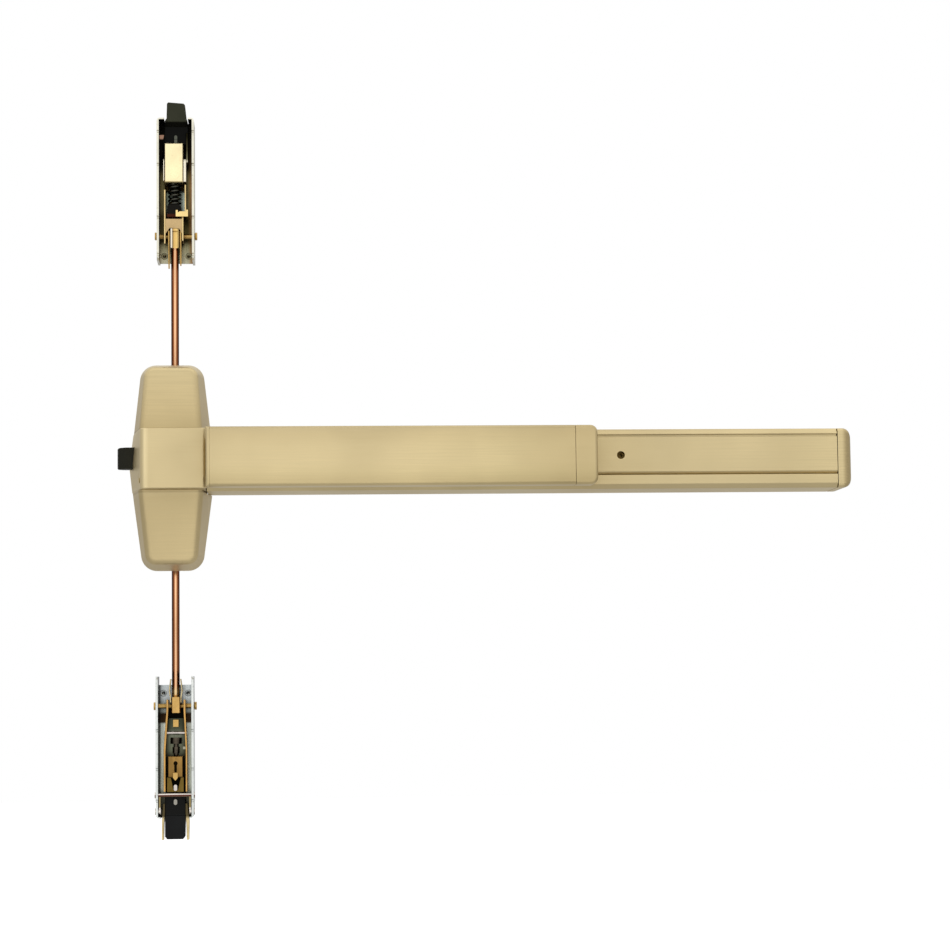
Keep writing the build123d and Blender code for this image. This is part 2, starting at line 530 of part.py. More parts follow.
# dogging screw and the bridge that carries it
bridge_y = -36.0
bridge = block(DOG_X - 9, DOG_X + 9, bridge_y, bridge_y + 2.5, MECH_Z - 14, MECH_Z + 14)
for s in (1, -1):
    e0, e1 = sorted((MECH_Z + s * 11.5, MECH_Z + s * 14.0))
    bridge += block(DOG_X - 9, DOG_X + 9, bridge_y + 2.5, -RAIL_WALL, e0, e1)
bridge -= rod_y(DOG_X, MECH_Z, 3.5 + RUN_GAP, bridge_y - 1, bridge_y + 4)
save(bridge, "dogging_bridge")
dog_top = lip_back + 6.0
dog = rod_y(DOG_X, MECH_Z, DOG_SHAFT_R, dog_top, bridge_y - 0.3)
dog += rod_y(DOG_X, MECH_Z, 3.5, bridge_y - 0.3, bridge_y + 6.0)
dog += slot_y(DOG_X, MECH_Z, DOG_X + 6.0, MECH_Z, 4.0, bridge_y + 3.0, bridge_y + 6.0)
dog -= extrude(
    Plane.XZ.offset(-dog_top) * Pos(DOG_X, MECH_Z) * RegularPolygon(HEX_FLATS / 2, 6, major_radius=False),
    amount=-8,
)
save(dog, "dogging_screw")

# latch cases


def latch_case(cx, open_z, back_z, end_z, notch_x0, notch_x1):
    """A channel with an open front, an open end for the rod and an end wall notched for the bolt."""
    side = 1 if end_z > open_z else -1
    y_back = LATCH_BACK - LATCH_WALL
    in_x0 = cx - LATCH_HALF + LATCH_WALL
    in_x1 = cx + LATCH_HALF - LATCH_WALL

    def span(z_a, z_b, x0, x1, y0, y1):
        return block(x0, x1, y0, y1, min(z_a, z_b), max(z_a, z_b))

    shell = span(open_z, end_z, cx - LATCH_HALF, cx + LATCH_HALF, LATCH_FRONT, LATCH_BACK)
    front = [e for e in shell.edges().filter_by(Axis.X) if e.center().Y < LATCH_FRONT + 1]
    shell = fillet([e for e in front if abs(e.center().Z - open_z) < 1], 5.0)
    shell = fillet([e for e in shell.edges().filter_by(Axis.Y) if abs(e.center().Z - end_z) < 1], LATCH_CORNER_R)
    shell -= span(open_z - side, end_z - side * LATCH_END_T, in_x0, in_x1, LATCH_FRONT - 1, y_back)
    shell -= span(open_z - side, back_z, in_x0, in_x1, y_back - 1, LATCH_BACK + 1)
    shell -= span(end_z - side * (LATCH_END_T + 1), end_z + side, notch_x0, notch_x1, LATCH_FRONT - 1, BOLT_Y1 + 1.5)
    return shell


BOLT_X0 = -9.6
BOLT_X1 = 13.3
BOLT_Y0 = 12.0
BOLT_Y1 = 32.0
BOLT_LIP_Z = 351.0
FLARE_Z = 351.3
NOSE_Z = 370.4
BOLT_STEP_Y = BOLT_Y0 + 5.5
top_case = latch_case(TOP_X, TOP_SIDE_Z0, TOP_BACK_Z0, TOP_Z1, BOLT_X0 - 0.5, BOLT_X1 + 0.5)
top_case -= slot_x(ROD_Y, TOP_PIN_Z + 0.5, TOP_PIN_Z - STROKE - 0.5, CROSS_PIN_R + SLIDE_GAP, -30, 30)
for nz in (339.1, 305.5, 251.7, 214.0):
    top_case -= rod_x(LATCH_FRONT, nz, 1.4, -30, 30)
for dx in (-LATCH_HOLE_DX / 2, LATCH_HOLE_DX / 2):
    top_case -= rod_y(TOP_X + dx, TOP_HOLE_Z, LATCH_HOLE_R, 30, 40)
for hz in (275.0, 325.0):
    top_case -= rod_x(26.0, hz, 2.0, -30, 30)
save(top_case, "top_latch_case")

bot_in0 = BOT_X - LATCH_HALF + LATCH_WALL
bot_in1 = BOT_X + LATCH_HALF - LATCH_WALL
CHEEK_X0 = bot_in0 + 3.1
CHEEK_X1 = bot_in1 - 2.6
BB_X0 = CHEEK_X0 + 3.4
BB_X1 = CHEEK_X1 - 3.9
BAR_PIN_Y = 8.0
BAR_PIN_Z = -325.4
BOSS_Y = 10.4
BOSS_Z = -341.4
bot_case = latch_case(BOT_X, BOT_SIDE_Z1, BOT_BACK_Z1, BOT_Z0, CHEEK_X0 - 0.5, CHEEK_X1 + 0.5)
bot_case -= rod_x(BAR_PIN_Y, BAR_PIN_Z, 1.2, -30, 30)
bot_case -= rod_x(BOSS_Y, BOSS_Z, 2.0, -30, 30)
bot_case -= slot_x(ROD_Y, BOT_PIN_Z - 0.5, BOT_PIN_Z + STROKE + 0.5, CROSS_PIN_R + SLIDE_GAP, -30, 30)
for nz in (-262.0, -300.0, -331.0):
    bot_case -= rod_x(LATCH_FRONT, nz, 1.4, -30, 30)
for dx in (-LATCH_HOLE_DX / 2, LATCH_HOLE_DX / 2):
    bot_case -= rod_y(BOT_X + dx, BOT_HOLE_Z, LATCH_HOLE_R, 30, 40)
for hz in (-275.0, -315.0):
    bot_case -= rod_x(26.0, hz, 2.0, -30, 30)
save(bot_case, "bottom_latch_case")

# top latch
GUIDE_Y = 21.0
BLOCK_Z0 = 288.4
BLOCK_Z1 = 328.4
LUG_Z0 = 253.6
LUG_Z1 = 266.2
SIDE_Y0 = 14.0
TOP_STRIP_Y0 = 12.0
FLANGE_TOP_Z = 339.7
SIDE_Y1 = 32.0

top_pin_len = LATCH_HALF + 2.6
top_pin = rod_x(ROD_Y, TOP_PIN_Z, CROSS_PIN_R, TOP_X - top_pin_len, TOP_X + top_pin_len)
top_pin += rod_x(ROD_Y, TOP_PIN_Z, 3.9, TOP_X - top_pin_len, TOP_X - LATCH_HALF - 0.3)
top_pin += rod_x(ROD_Y, TOP_PIN_Z, 3.9, TOP_X + LATCH_HALF + 0.3, TOP_X + top_pin_len)
save(top_pin, "top_cross_pin")

top_rod = rod_z(0, ROD_Y, ROD_R, NECK_Z0 + 2.0, TOP_PIN_Z - CROSS_PIN_R - 0.6)
save(top_rod, "top_rod")
rod_end = block(-5.0, 5.0, 15.0, 29.0, 222.3, 242.0)
rod_end = chamfer(rod_end.edges().filter_by(Axis.Z), 1.0)
rod_end -= rod_z(0, ROD_Y, ROD_R, 220, TOP_PIN_Z - CROSS_PIN_R - 0.6)
rod_end -= rod_x(ROD_Y, TOP_PIN_Z, CROSS_PIN_R, -10, 10)
rod_end -= block(-2.4, 3.0, 14, 18.0, 221, 239.6)
save(rod_end, "top_rod_end")

left_side = prism_x(
    [(TOP_STRIP_Y0, 226), (SIDE_Y1, 229), (SIDE_Y1, 312), (28.6, 312), (28.6, 286), (26, 283), (TOP_STRIP_Y0, 281)],
    -10.5, -9.0,
)
right_side = prism_y(
    [(7.5, 229), (9.0, 229), (9.0, 255.5), (11.7, 258.5), (11.7, 286), (10.2, 286), (10.2, 259.4), (7.5, 256.4)],
    TOP_STRIP_Y0, SIDE_Y1,
)
right_side += block(10.2, 11.7, 28.6, SIDE_Y1, 286, 312)
arch = prism_y([(-9.0, 251.7), (7.5, 251.7), (7.5, 236.0), (4.6, 241.6), (-4.8, 242.4), (-9.0, 236.5)], 13.8, 15.0)
carriage = left_side + right_side + arch
carriage += block(-9.0, 10.2, 30.4, SIDE_Y1, LUG_Z1 + STROKE + 0.8, 312)
carriage -= top_pin
save(carriage, "top_carriage")

tails = group(
    prism_x([(16, 240), (28, 240), (28, 225), (23, 202), (21, 202), (16, 225)], -6.6, -5.2) - top_pin,
    prism_x([(16, 240), (28, 240), (28, 228), (23, 205), (21, 205), (16, 228)], 5.2, 6.6) - top_pin,
)
save(tails, "top_pin_links")

tab = prism_y(
    [(1.4, 252.9), (13.8, 252.9), (13.8, 258.2), (5.2, 258.2), (3.6, 257.0), (3.6, 259.6), (1.4, 259.6)], 8.0, 10.6
)
tab += block(11.7, 13.8, 10.6, 24.0, 253.2, 260.4)
save(tab, "top_tab")

lug = block(-7.5, 6.5, 13.2, LATCH_BACK - LATCH_WALL, LUG_Z0 + 3.0, LUG_Z1)
lug = chamfer([e for e in lug.edges().filter_by(Axis.Y)], 2.0)
lug += block(-7.5, 3.5, 13.2, LATCH_BACK - LATCH_WALL, LUG_Z0, LUG_Z0 + 3.2)
shoulder = BLOCK_Z0 - STROKE - 1.0
lug += rod_z(0, GUIDE_Y, 3.5, LUG_Z1 - 1, shoulder)
lug += rod_z(0, GUIDE_Y, 2.0, shoulder - 0.5, 300)
save(lug, "top_spring_lug")

top_spring_plane = Plane(origin=(0, GUIDE_Y, LUG_Z1), x_dir=(1, 0, 0), z_dir=(0, 0, 1))
save(coil(top_spring_plane, 6.3, 0.75, BLOCK_Z0 - LUG_Z1, 3), "top_spring")

brass = block(-10.0, 9.1, 10.0, 27.0, BLOCK_Z0, BLOCK_Z1)
brass = chamfer([e for e in brass.edges() if e.center().Y < 10.1], 0.9)
brass -= rod_z(0, GUIDE_Y, 2.0 + SLIDE_GAP, BLOCK_Z0 - 1, 318)
save(brass, "top_brass_block")

plate = block(-11.1, 11.7, 27.0, 28.6, 290, 312)
plate += block(-11.2, -10.1, 11.5, 28.6, 290, 312)
plate += block(9.2, 11.7, 11.5, 28.6, 289, 312)
plate += block(11.7, 13.4, 16.0, 28.6, 309.7, FLANGE_TOP_Z)
save(plate, "top_back_plate")

bolt = prism_y(
    [
        (BOLT_X0, BLOCK_Z1), (BOLT_X1, BLOCK_Z1), (BOLT_X1, FLARE_Z), (12.2, FLARE_Z + 2.7), (10.8, NOSE_Z - 2.8), (9.4, NOSE_Z - 1.2),
        (-6.2, NOSE_Z), (-7.4, NOSE_Z - 1.4), (-7.8, FLARE_Z + 2.7), (BOLT_X0, FLARE_Z),
    ],
    BOLT_Y0, BOLT_Y1,
)
bolt -= prism_x(
    [(BOLT_Y1 + 1, NOSE_Z - 18.4), (BOLT_Y1 + 1, NOSE_Z + 1.6), (BOLT_Y0 + 5, NOSE_Z + 1.6), (BOLT_Y1 + 0.5, NOSE_Z - 20.4)],
    -20, 20,
)
bolt -= prism_x(
    [
        (BOLT_Y0 - 1, BLOCK_Z1 - 1), (BOLT_STEP_Y, BLOCK_Z1 - 1), (BOLT_STEP_Y, BOLT_LIP_Z - 4.8), (BOLT_Y0, BOLT_LIP_Z),
        (BOLT_Y0 - 1, BOLT_LIP_Z),
    ],
    -20, 20,
)
bolt -= block(11.3, 20, 15.0, 29.0, BLOCK_Z1 - 1, FLANGE_TOP_Z + 0.5)
save(bolt, "top_bolt")

screw = slot_y(1.3, 330.4, 1.3, 335.8, 1.5, BOLT_STEP_Y - 2.0, BOLT_STEP_Y)
screw -= block(-2, 5, BOLT_STEP_Y - 2.1, BOLT_STEP_Y - 1.4, 332.8, 333.4)
save(screw, "top_bolt_screw")

wall_in = TOP_X - LATCH_HALF + LATCH_WALL
leaf_gap = BOLT_X0 - wall_in
leaf_shape = [(0, 336.8), (0.9, 336.8), (0.82, 334.0), (0.64, 330.5), (0.56, 314.0), (0.16, 314.0), (0.1, 331.0), (0, 333.4)]
leaf = prism_y([(wall_in + share * leaf_gap, z) for share, z in leaf_shape], 11.4, 13.0)
save(leaf, "top_leaf")

# bottom latch

bot_pin_len = LATCH_HALF + 2.6
bot_pin = rod_x(ROD_Y, BOT_PIN_Z, CROSS_PIN_R, BOT_X - bot_pin_len, BOT_X + bot_pin_len)
bot_pin += rod_x(ROD_Y, BOT_PIN_Z, 3.9, BOT_X - bot_pin_len, BOT_X - LATCH_HALF - 0.3)
bot_pin += rod_x(ROD_Y, BOT_PIN_Z, 3.9, BOT_X + LATCH_HALF + 0.3, BOT_X + bot_pin_len)
save(bot_pin, "bottom_cross_pin")
bot_rod_end_z = BOT_PIN_Z + CROSS_PIN_R + 0.6
save(rod_z(0, ROD_Y, ROD_R, bot_rod_end_z, -NECK_Z0 - 2.0), "bottom_rod")
bot_end = block(-4.0, 4.6, 14.0, 29.0, -244.6, -229.0)
bot_end = chamfer(bot_end.edges().filter_by(Axis.Z), 0.8)
bot_end -= rod_z(0, ROD_Y, ROD_R, bot_rod_end_z, -220)
bot_end -= rod_x(ROD_Y, BOT_PIN_Z, CROSS_PIN_R, -10, 10)
save(bot_end, "bottom_rod_end")

clips = []
for s in (-1, 1):
    strip = [
        (s * 4.6, -234.5), (s * 5.8, -234.5), (s * 5.8, -229.5), (s * 6.9, -223.0), (s * 5.5, -211.0),
        (s * 4.3, -211.0), (s * 5.7, -223.0), (s * 4.6, -229.2),
    ]
    clips.append(prism_y(strip, 17.5, 26.5) - bot_pin)
save(group(*clips), "bottom_rod_clip")

left_side = prism_y(
    [
        (-9.1, -231.5), (-7.3, -231.5), (-7.3, -242), (-10.0, -281), (-10.0, -322.4), (-11.9, -322.4), (-11.9, -281),
        (-9.1, -242),
    ],
    SIDE_Y0, SIDE_Y1,
)
right_side = prism_y(
    [(7.9, -231.5), (9.7, -231.5), (9.7, -242), (11.5, -281), (11.5, -322.4), (9.9, -322.4), (9.9, -281), (7.9, -242)],
    SIDE_Y0, SIDE_Y1,
)
back_web = prism_y([(-7.5, -250), (8.1, -250), (9.9, -281), (9.9, -322.4), (-10.0, -322.4), (-10.0, -281)], 24.0, 25.8)
small_pin = rod_x(16.0, -264.4, 1.5, -11.0, 11.2)
bot_carriage = left_side + right_side + back_web - bot_pin - small_pin
save(bot_carriage, "bottom_carriage")

key_plate = block(-2.6, 3.1, 12.6, 24.0, -258.6, -251.2)

NUT_X = 0.3
NUT_Y = 17.0
adjuster = rod_z(NUT_X, NUT_Y, 5.6, -275.2, -269.0)
adjuster += rod_z(NUT_X, NUT_Y, 2.4, -293.0, -275.2)
adjuster += rod_z(NUT_X, NUT_Y, 3.5, -284.6, -278.2)
adjuster += block(NUT_X - 3, NUT_X + 3, NUT_Y, 24.0, -275.2, -269.0)
save(adjuster, "bottom_adjuster")
stud = block(7.2, 9.7, 14.0, 17.0, -280.6, -278.0)

bronze = block(-7.6, 7.3, 11.0, 24.0, -308.1, -287.4)
bronze = chamfer([e for e in bronze.edges() if e.center().Y < 11.1], 0.7)
bronze -= rod_z(NUT_X, NUT_Y, 2.4, -293.0, -280)
bronze -= slot_y(0, -293.4, 0, -302.0, 1.35, 10, 16)
bronze -= rod_y(0, -294.4, 2.1, 10, 16)
save(bronze, "bottom_bronze_block")
point = prism_y([(-2.6, -303.6), (2.3, -303.6), (2.3, -308.6), (-0.1, -311.6), (-2.6, -308.6)], 9.0, 11.0)
save(group(key_plate, point), "bottom_brass_keys")
vee = prism_y(
    [
        (-8.5, -308.1), (-4.8, -308.1), (-2.2, -320.5), (2.2, -320.5), (5.1, -308.1), (7.9, -308.1), (7.9, -322.5),
        (-8.5, -322.5),
    ],
    13.0, 24.0,
)
save(vee, "bottom_vee_plate")
oval_pin = slot_y(-0.1, -317.0, -0.1, -319.8, 1.7, 10.4, 13.0)

bot_out0 = BOT_X - LATCH_HALF
bot_out1 = BOT_X + LATCH_HALF
bar = block(bot_in0, bot_in1, 6.5, 9.4, BAR_PIN_Z - 1.7, BAR_PIN_Z + 1.7)
bar = fillet(bar.edges().filter_by(Axis.X), 0.8)
bar += rod_x(BAR_PIN_Y, BAR_PIN_Z, 1.2, bot_out0 - 0.6, bot_out1 + 0.6)
for leg_x in (bot_in0 + 0.8, bot_in1 - 2.4):
    bar += block(leg_x, leg_x + 1.6, 7.5, 9.4, BOSS_Z + 2.0, BAR_PIN_Z)
for b0, b1 in ((bot_in0, CHEEK_X0 - 0.4), (CHEEK_X1 + 0.4, bot_in1)):
    bar += rod_x(BOSS_Y, BOSS_Z, 3.3, b0, b1)
for b0, b1 in ((bot_out0 - 0.8, bot_in0 + 0.5), (bot_in1 - 0.5, bot_out1 + 0.8)):
    bar += rod_x(BOSS_Y, BOSS_Z, 2.0, b0, b1)
for h0, h1 in ((bot_out0 - 1.0, bot_out0), (bot_out1, bot_out1 + 1.0)):
    bar += rod_x(BAR_PIN_Y, BAR_PIN_Z, 2.9, h0, h1)
    bar += rod_x(BOSS_Y, BOSS_Z, 3.3, h0, h1)
save(bar, "bottom_front_bar")

bot_bolt = prism_y(
    [(BB_X0, -322.5), (BB_X1, -322.5), (BB_X1, -366.4), (BB_X1 - 2.2, -369.0), (BB_X0 + 2.2, -369.0), (BB_X0, -366.4)],
    13.0, 33.0,
)
bot_bolt -= prism_x([(34, -350), (34, -370), (20, -370), (33.2, -349)], -20, 20)
bot_bolt -= block(-20, 20, 12, 14.2, -345.8, -322)
bot_bolt -= block(-12, -9.9, 13.0, 33.5, -323.0, -322.0)
save(bot_bolt, "bottom_bolt")
bolt_screw = slot_y(-0.2, -331.4, -0.2, -333.6, 1.7, 12.2, 14.2)
save(group(small_pin, stud, oval_pin, bolt_screw), "bottom_silver_pins")
left_cheek = [
    (BB_X0, -334), (BB_X0, -343), (BB_X0 - 1.1, -354), (BB_X0 - 1.4, -369.8), (CHEEK_X0, -369.8), (CHEEK_X0 + 0.2, -352),
    (CHEEK_X0 + 1.6, -334),
]
right_cheek = [
    (BB_X1, -334), (BB_X1, -343), (BB_X1 + 0.9, -354), (BB_X1 + 1.3, -369.8), (CHEEK_X1 - 0.4, -369.8), (CHEEK_X1, -352),
    (CHEEK_X1 - 1.8, -334),
]
cheeks = group(prism_y(left_cheek, 15.5, 31.0), prism_y(right_cheek, 15.5, 31.0))
save(cheeks, "bottom_bolt_cheeks")
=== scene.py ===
import json
import math

import bpy
import bmesh
from mathutils import Matrix, Vector


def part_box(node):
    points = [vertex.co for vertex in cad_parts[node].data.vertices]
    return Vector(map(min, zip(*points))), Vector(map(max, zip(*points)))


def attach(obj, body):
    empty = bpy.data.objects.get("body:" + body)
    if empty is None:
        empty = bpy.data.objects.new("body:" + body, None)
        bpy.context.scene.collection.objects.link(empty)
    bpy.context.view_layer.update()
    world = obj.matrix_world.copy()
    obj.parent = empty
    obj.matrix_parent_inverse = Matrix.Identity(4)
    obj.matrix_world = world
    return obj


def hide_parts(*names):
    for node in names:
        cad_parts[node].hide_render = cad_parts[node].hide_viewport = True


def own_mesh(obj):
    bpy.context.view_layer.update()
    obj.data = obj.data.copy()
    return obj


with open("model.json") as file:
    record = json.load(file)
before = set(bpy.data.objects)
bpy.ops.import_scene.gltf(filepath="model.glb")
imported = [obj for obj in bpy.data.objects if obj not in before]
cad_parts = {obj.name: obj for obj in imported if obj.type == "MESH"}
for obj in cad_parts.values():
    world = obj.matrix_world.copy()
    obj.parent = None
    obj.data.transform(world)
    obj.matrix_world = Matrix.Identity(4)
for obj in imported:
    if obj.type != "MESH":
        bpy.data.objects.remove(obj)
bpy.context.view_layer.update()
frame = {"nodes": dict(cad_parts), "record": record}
record = frame["record"]
nodes = frame["nodes"]
SLOT_OF = {part["node"]: part["material_slot"] for part in record["subparts"]}
scene = bpy.context.scene
MM = 0.001


def linear(r, g, b):
    """A colour given as 0 to 255 in sRGB, as the linear values that a shader takes."""
    parts = (r / 255, g / 255, b / 255)
    return tuple(c / 12.92 if c <= 0.04045 else ((c + 0.055) / 1.055) ** 2.4 for c in parts)


def shade(colour, factor):
    return tuple(min(1.0, c * factor) for c in colour)


# materials


class Nodes:
    """Lays out the nodes of one tree."""

    def __init__(self, tree):
        self.tree = tree
        self.tree.nodes.clear()

    def add(self, kind, **values):
        node = self.tree.nodes.new(kind)
        for key, value in values.items():
            setattr(node, key, value)
        return node

    def link(self, a, b):
        self.tree.links.new(a, b)

    def split(self, vector):
        node = self.add("ShaderNodeSeparateXYZ")
        self.link(vector, node.inputs[0])
        return node.outputs

    def ramp(self, source, low, high, a=0.0, b=1.0, soft=False):
        node = self.add("ShaderNodeMapRange")
        if soft:
            node.interpolation_type = "SMOOTHSTEP"
        for key, value in (("From Min", low), ("From Max", high), ("To Min", a), ("To Max", b)):
            node.inputs[key].default_value = value
        self.link(source, node.inputs["Value"])
        return node.outputs["Result"]

    def math(self, kind, a, b):
        node = self.add("ShaderNodeMath", operation=kind)
        for socket, value in zip(node.inputs, (a, b)):
            if isinstance(value, (int, float)):
                socket.default_value = value
            else:
                self.link(value, socket)
        return node.outputs[0]


class Tree(Nodes):
    """One material: its shader, the object's coordinates, and the masks and colours built on them."""

    def __init__(self, name):
        self.mat = bpy.data.materials.new(name)
        self.mat.use_nodes = True
        super().__init__(self.mat.node_tree)
        self.out = self.add("ShaderNodeOutputMaterial")
        self.bsdf = self.add("ShaderNodeBsdfPrincipled")
        self.link(self.bsdf.outputs[0], self.out.inputs[0])
        self.coord = self.add("ShaderNodeTexCoord").outputs["Object"]
        self.x, self.y, self.z = self.split(self.coord)

    def noise(self, scale, detail=3.0, rough=0.55, stretch=(1, 1, 1)):
        mapping = self.add("ShaderNodeMapping")
        mapping.inputs["Scale"].default_value = stretch
        self.link(self.coord, mapping.inputs["Vector"])
        node = self.add("ShaderNodeTexNoise")
        for key, value in (("Scale", scale), ("Detail", detail), ("Roughness", rough)):
            node.inputs[key].default_value = value
        self.link(mapping.outputs[0], node.inputs["Vector"])
        return node.outputs["Fac"]

    def mix(self, factor, a, b, blend="MIX"):
        node = self.add("ShaderNodeMix", data_type="RGBA", blend_type=blend)
        for socket, value in ((node.inputs[0], factor), (node.inputs[6], a), (node.inputs[7], b)):
            if isinstance(value, (int, float)):
                socket.default_value = value
            elif isinstance(value, tuple):
                socket.default_value = (*value, 1)
            else:
                self.link(value, socket)
        return node.outputs[2]

    def edge(self, radius):
        """1 along edges and 0 on faces, from how far a rounded normal leans away from the face's own."""
        bevel = self.add("ShaderNodeBevel", samples=6)
        bevel.inputs["Radius"].default_value = radius
        geometry = self.add("ShaderNodeNewGeometry")
        dot = self.add("ShaderNodeVectorMath", operation="DOT_PRODUCT")
        self.link(bevel.outputs[0], dot.inputs[0])
        self.link(geometry.outputs["Normal"], dot.inputs[1])
        return self.ramp(dot.outputs["Value"], 0.995, 0.86)

    def open_sky(self, reach, low, high):
        """0 deep inside a recess and 1 in the open: the mask for the painted shade in recesses."""
        sky = self.add("ShaderNodeAmbientOcclusion", samples=8)
        sky.inputs["Distance"].default_value = reach
        return self.ramp(sky.outputs["AO"], low, high)

    def facing(self):
        """The three parts of the direction that a face looks in."""
        return self.split(self.add("ShaderNodeNewGeometry").outputs["Normal"])

    def facing_side(self):
        """1 on walls that face left or right, 0 on faces towards the front."""
        return self.ramp(self.math("ABSOLUTE", self.facing()[0], 0.0), 0.5, 0.8)

    def upright(self):
        """0 on undersides, 1 on faces towards the front."""
        return self.ramp(self.facing()[2], -0.75, -0.35)

    def inside(self, axis, low, high, soft):
        """1 where a coordinate lies between two values in metres, with soft ends."""
        rise = self.ramp(axis, low - soft, low + soft)
        return self.math("MULTIPLY", rise, self.ramp(axis, high - soft, high + soft, 1.0, 0.0))

    def gradient(self, axis, stops):
        """Colour by place: the stops give a coordinate in metres and the colour there."""
        low, high = stops[0][0], stops[-1][0]
        node = self.add("ShaderNodeValToRGB")
        ends = node.color_ramp.elements
        ends[0].color, ends[1].color = (*stops[0][1], 1), (*stops[-1][1], 1)
        for place, colour in stops[1:-1]:
            ends.new((place - low) / (high - low)).color = (*colour, 1)
        self.link(self.ramp(axis, low, high), node.inputs[0])
        return node.outputs[0]

    def grey(self, value):
        node = self.add("ShaderNodeCombineColor")
        for socket in node.inputs:
            self.link(value, socket)
        return node.outputs[0]

    def bump(self, height, strength, distance):
        node = self.add("ShaderNodeBump")
        node.inputs["Strength"].default_value = strength
        node.inputs["Distance"].default_value = distance
        self.link(height, node.inputs["Height"])
        self.link(node.outputs[0], self.bsdf.inputs["Normal"])


# how far the grain is drawn out along each axis
ALONG_X = (0.02, 1, 1)
ALONG_Z = (1, 1, 0.03)
EVEN = (1, 1, 1)
# painted shade in the recesses: its share, its reach in millimetres, and where it starts and ends
NO_RECESS_SHADE = (0.0, 1, 0, 1)
SHALLOW = (0.7, 9, 0.1, 0.7)
SEAM = (0.22, 3, 0.15, 0.7)
FAINT = (0.4, 8, 0.1, 0.7)
SPECK_SCALE, SPECK_SHADE = 420.0, 0.35
RUBBED_SHARE = 0.7
RECESS_SHADE_TONE = 0.04
GRAIN_BUMP = 0.35


def metal(
    name, colour, rough, grain, stretch, depth_mm, tone, mottle, edge, edge_mm, recess_shade,
    metallic=1.0, spots=0.0, specular=0.5, extra=None,
):
    """Plated or bare metal: drawn-out grain, drifting tone, worn edges, specks and painted shade in the
    recesses.
    """
    t = Tree(name)
    lines = t.noise(grain, 4.0, 0.6, stretch)
    drift = t.noise(mottle, 3.0, 0.5)
    base = t.mix(t.ramp(lines, 0.3, 0.7), shade(colour, 1 - tone * 0.6), shade(colour, 1 + tone * 0.5))
    base = t.mix(t.ramp(drift, 0.35, 0.7), base, shade(colour, 1 - tone))
    if spots:
        specks = t.noise(SPECK_SCALE, 2.0, 0.5)
        base = t.mix(t.ramp(specks, 0.62, 0.74, 0.0, spots), base, shade(colour, SPECK_SHADE))
    if edge != 1.0:
        base = t.mix(t.math("MULTIPLY", t.edge(edge_mm * MM), RUBBED_SHARE), base, shade(colour, edge))
    if extra:
        base = extra(t, base)
    # painted shade: the colour darkens in recesses, where shade falls
    if recess_shade[0]:
        share, reach_mm, low, high = recess_shade
        recess_shaded = t.mix(share, base, shade(colour, RECESS_SHADE_TONE))
        base = t.mix(t.open_sky(reach_mm * MM, low, high), recess_shaded, base)
    t.link(base, t.bsdf.inputs["Base Color"])
    t.bsdf.inputs["Metallic"].default_value = metallic
    t.bsdf.inputs["Specular IOR Level"].default_value = specular
    wide = t.math("ADD", t.ramp(lines, 0.25, 0.75, -0.06, 0.07), t.ramp(drift, 0.3, 0.7, -0.04, 0.05))
    t.link(t.math("ADD", wide, rough), t.bsdf.inputs["Roughness"])
    t.bump(lines, GRAIN_BUMP, depth_mm * MM)
    return t.mat


# the places that the finishes below are drawn from
top_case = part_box("top_latch_case")
bottom_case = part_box("bottom_latch_case")
top_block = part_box("top_brass_block")
top_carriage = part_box("top_carriage")
lower_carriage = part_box("bottom_carriage")
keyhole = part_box("bottom_bronze_block")
rod_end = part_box("top_rod_end")
leaf_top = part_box("top_leaf")[1][2]
bolt_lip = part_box("top_bolt")[1][2] - 19.3 * MM
bar_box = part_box("bottom_front_bar")
lug_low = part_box("top_spring_lug")[0][2]
bottom_rod_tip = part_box("bottom_rod")[0][2]
cap_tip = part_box("end_cap")[1][0]
pad_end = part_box("pad_end_cap_outer")[1][0]
BAND_LOW, BAND_HIGH, BAND_EAST = -27.6 * MM, 31.8 * MM, 33.0 * MM
WALL = 2.2 * MM
WALL_FRONT = top_case[0][1]
BLACK = linear(8, 8, 5)


def case_inside(t, box, back, walls):
    """The painted shade on a channel's inner faces, with streaks, and the mask of where it lies."""
    between = t.inside(t.x, box[0][0] + WALL * 0.9, box[1][0] - WALL * 0.9, 0.1 * MM)
    depth = t.inside(t.y, WALL_FRONT + 1.6 * MM, box[1][1] - WALL * 0.5, 0.5 * MM)
    streaks = t.ramp(t.noise(260, 3.0, 0.6, ALONG_Z), 0.32, 0.7, 0.72, 1.12)
    streaked = t.mix(1.0, back, t.grey(streaks), "MULTIPLY")
    return t.math("MULTIPLY", between, depth), t.mix(t.facing_side(), streaked, walls)


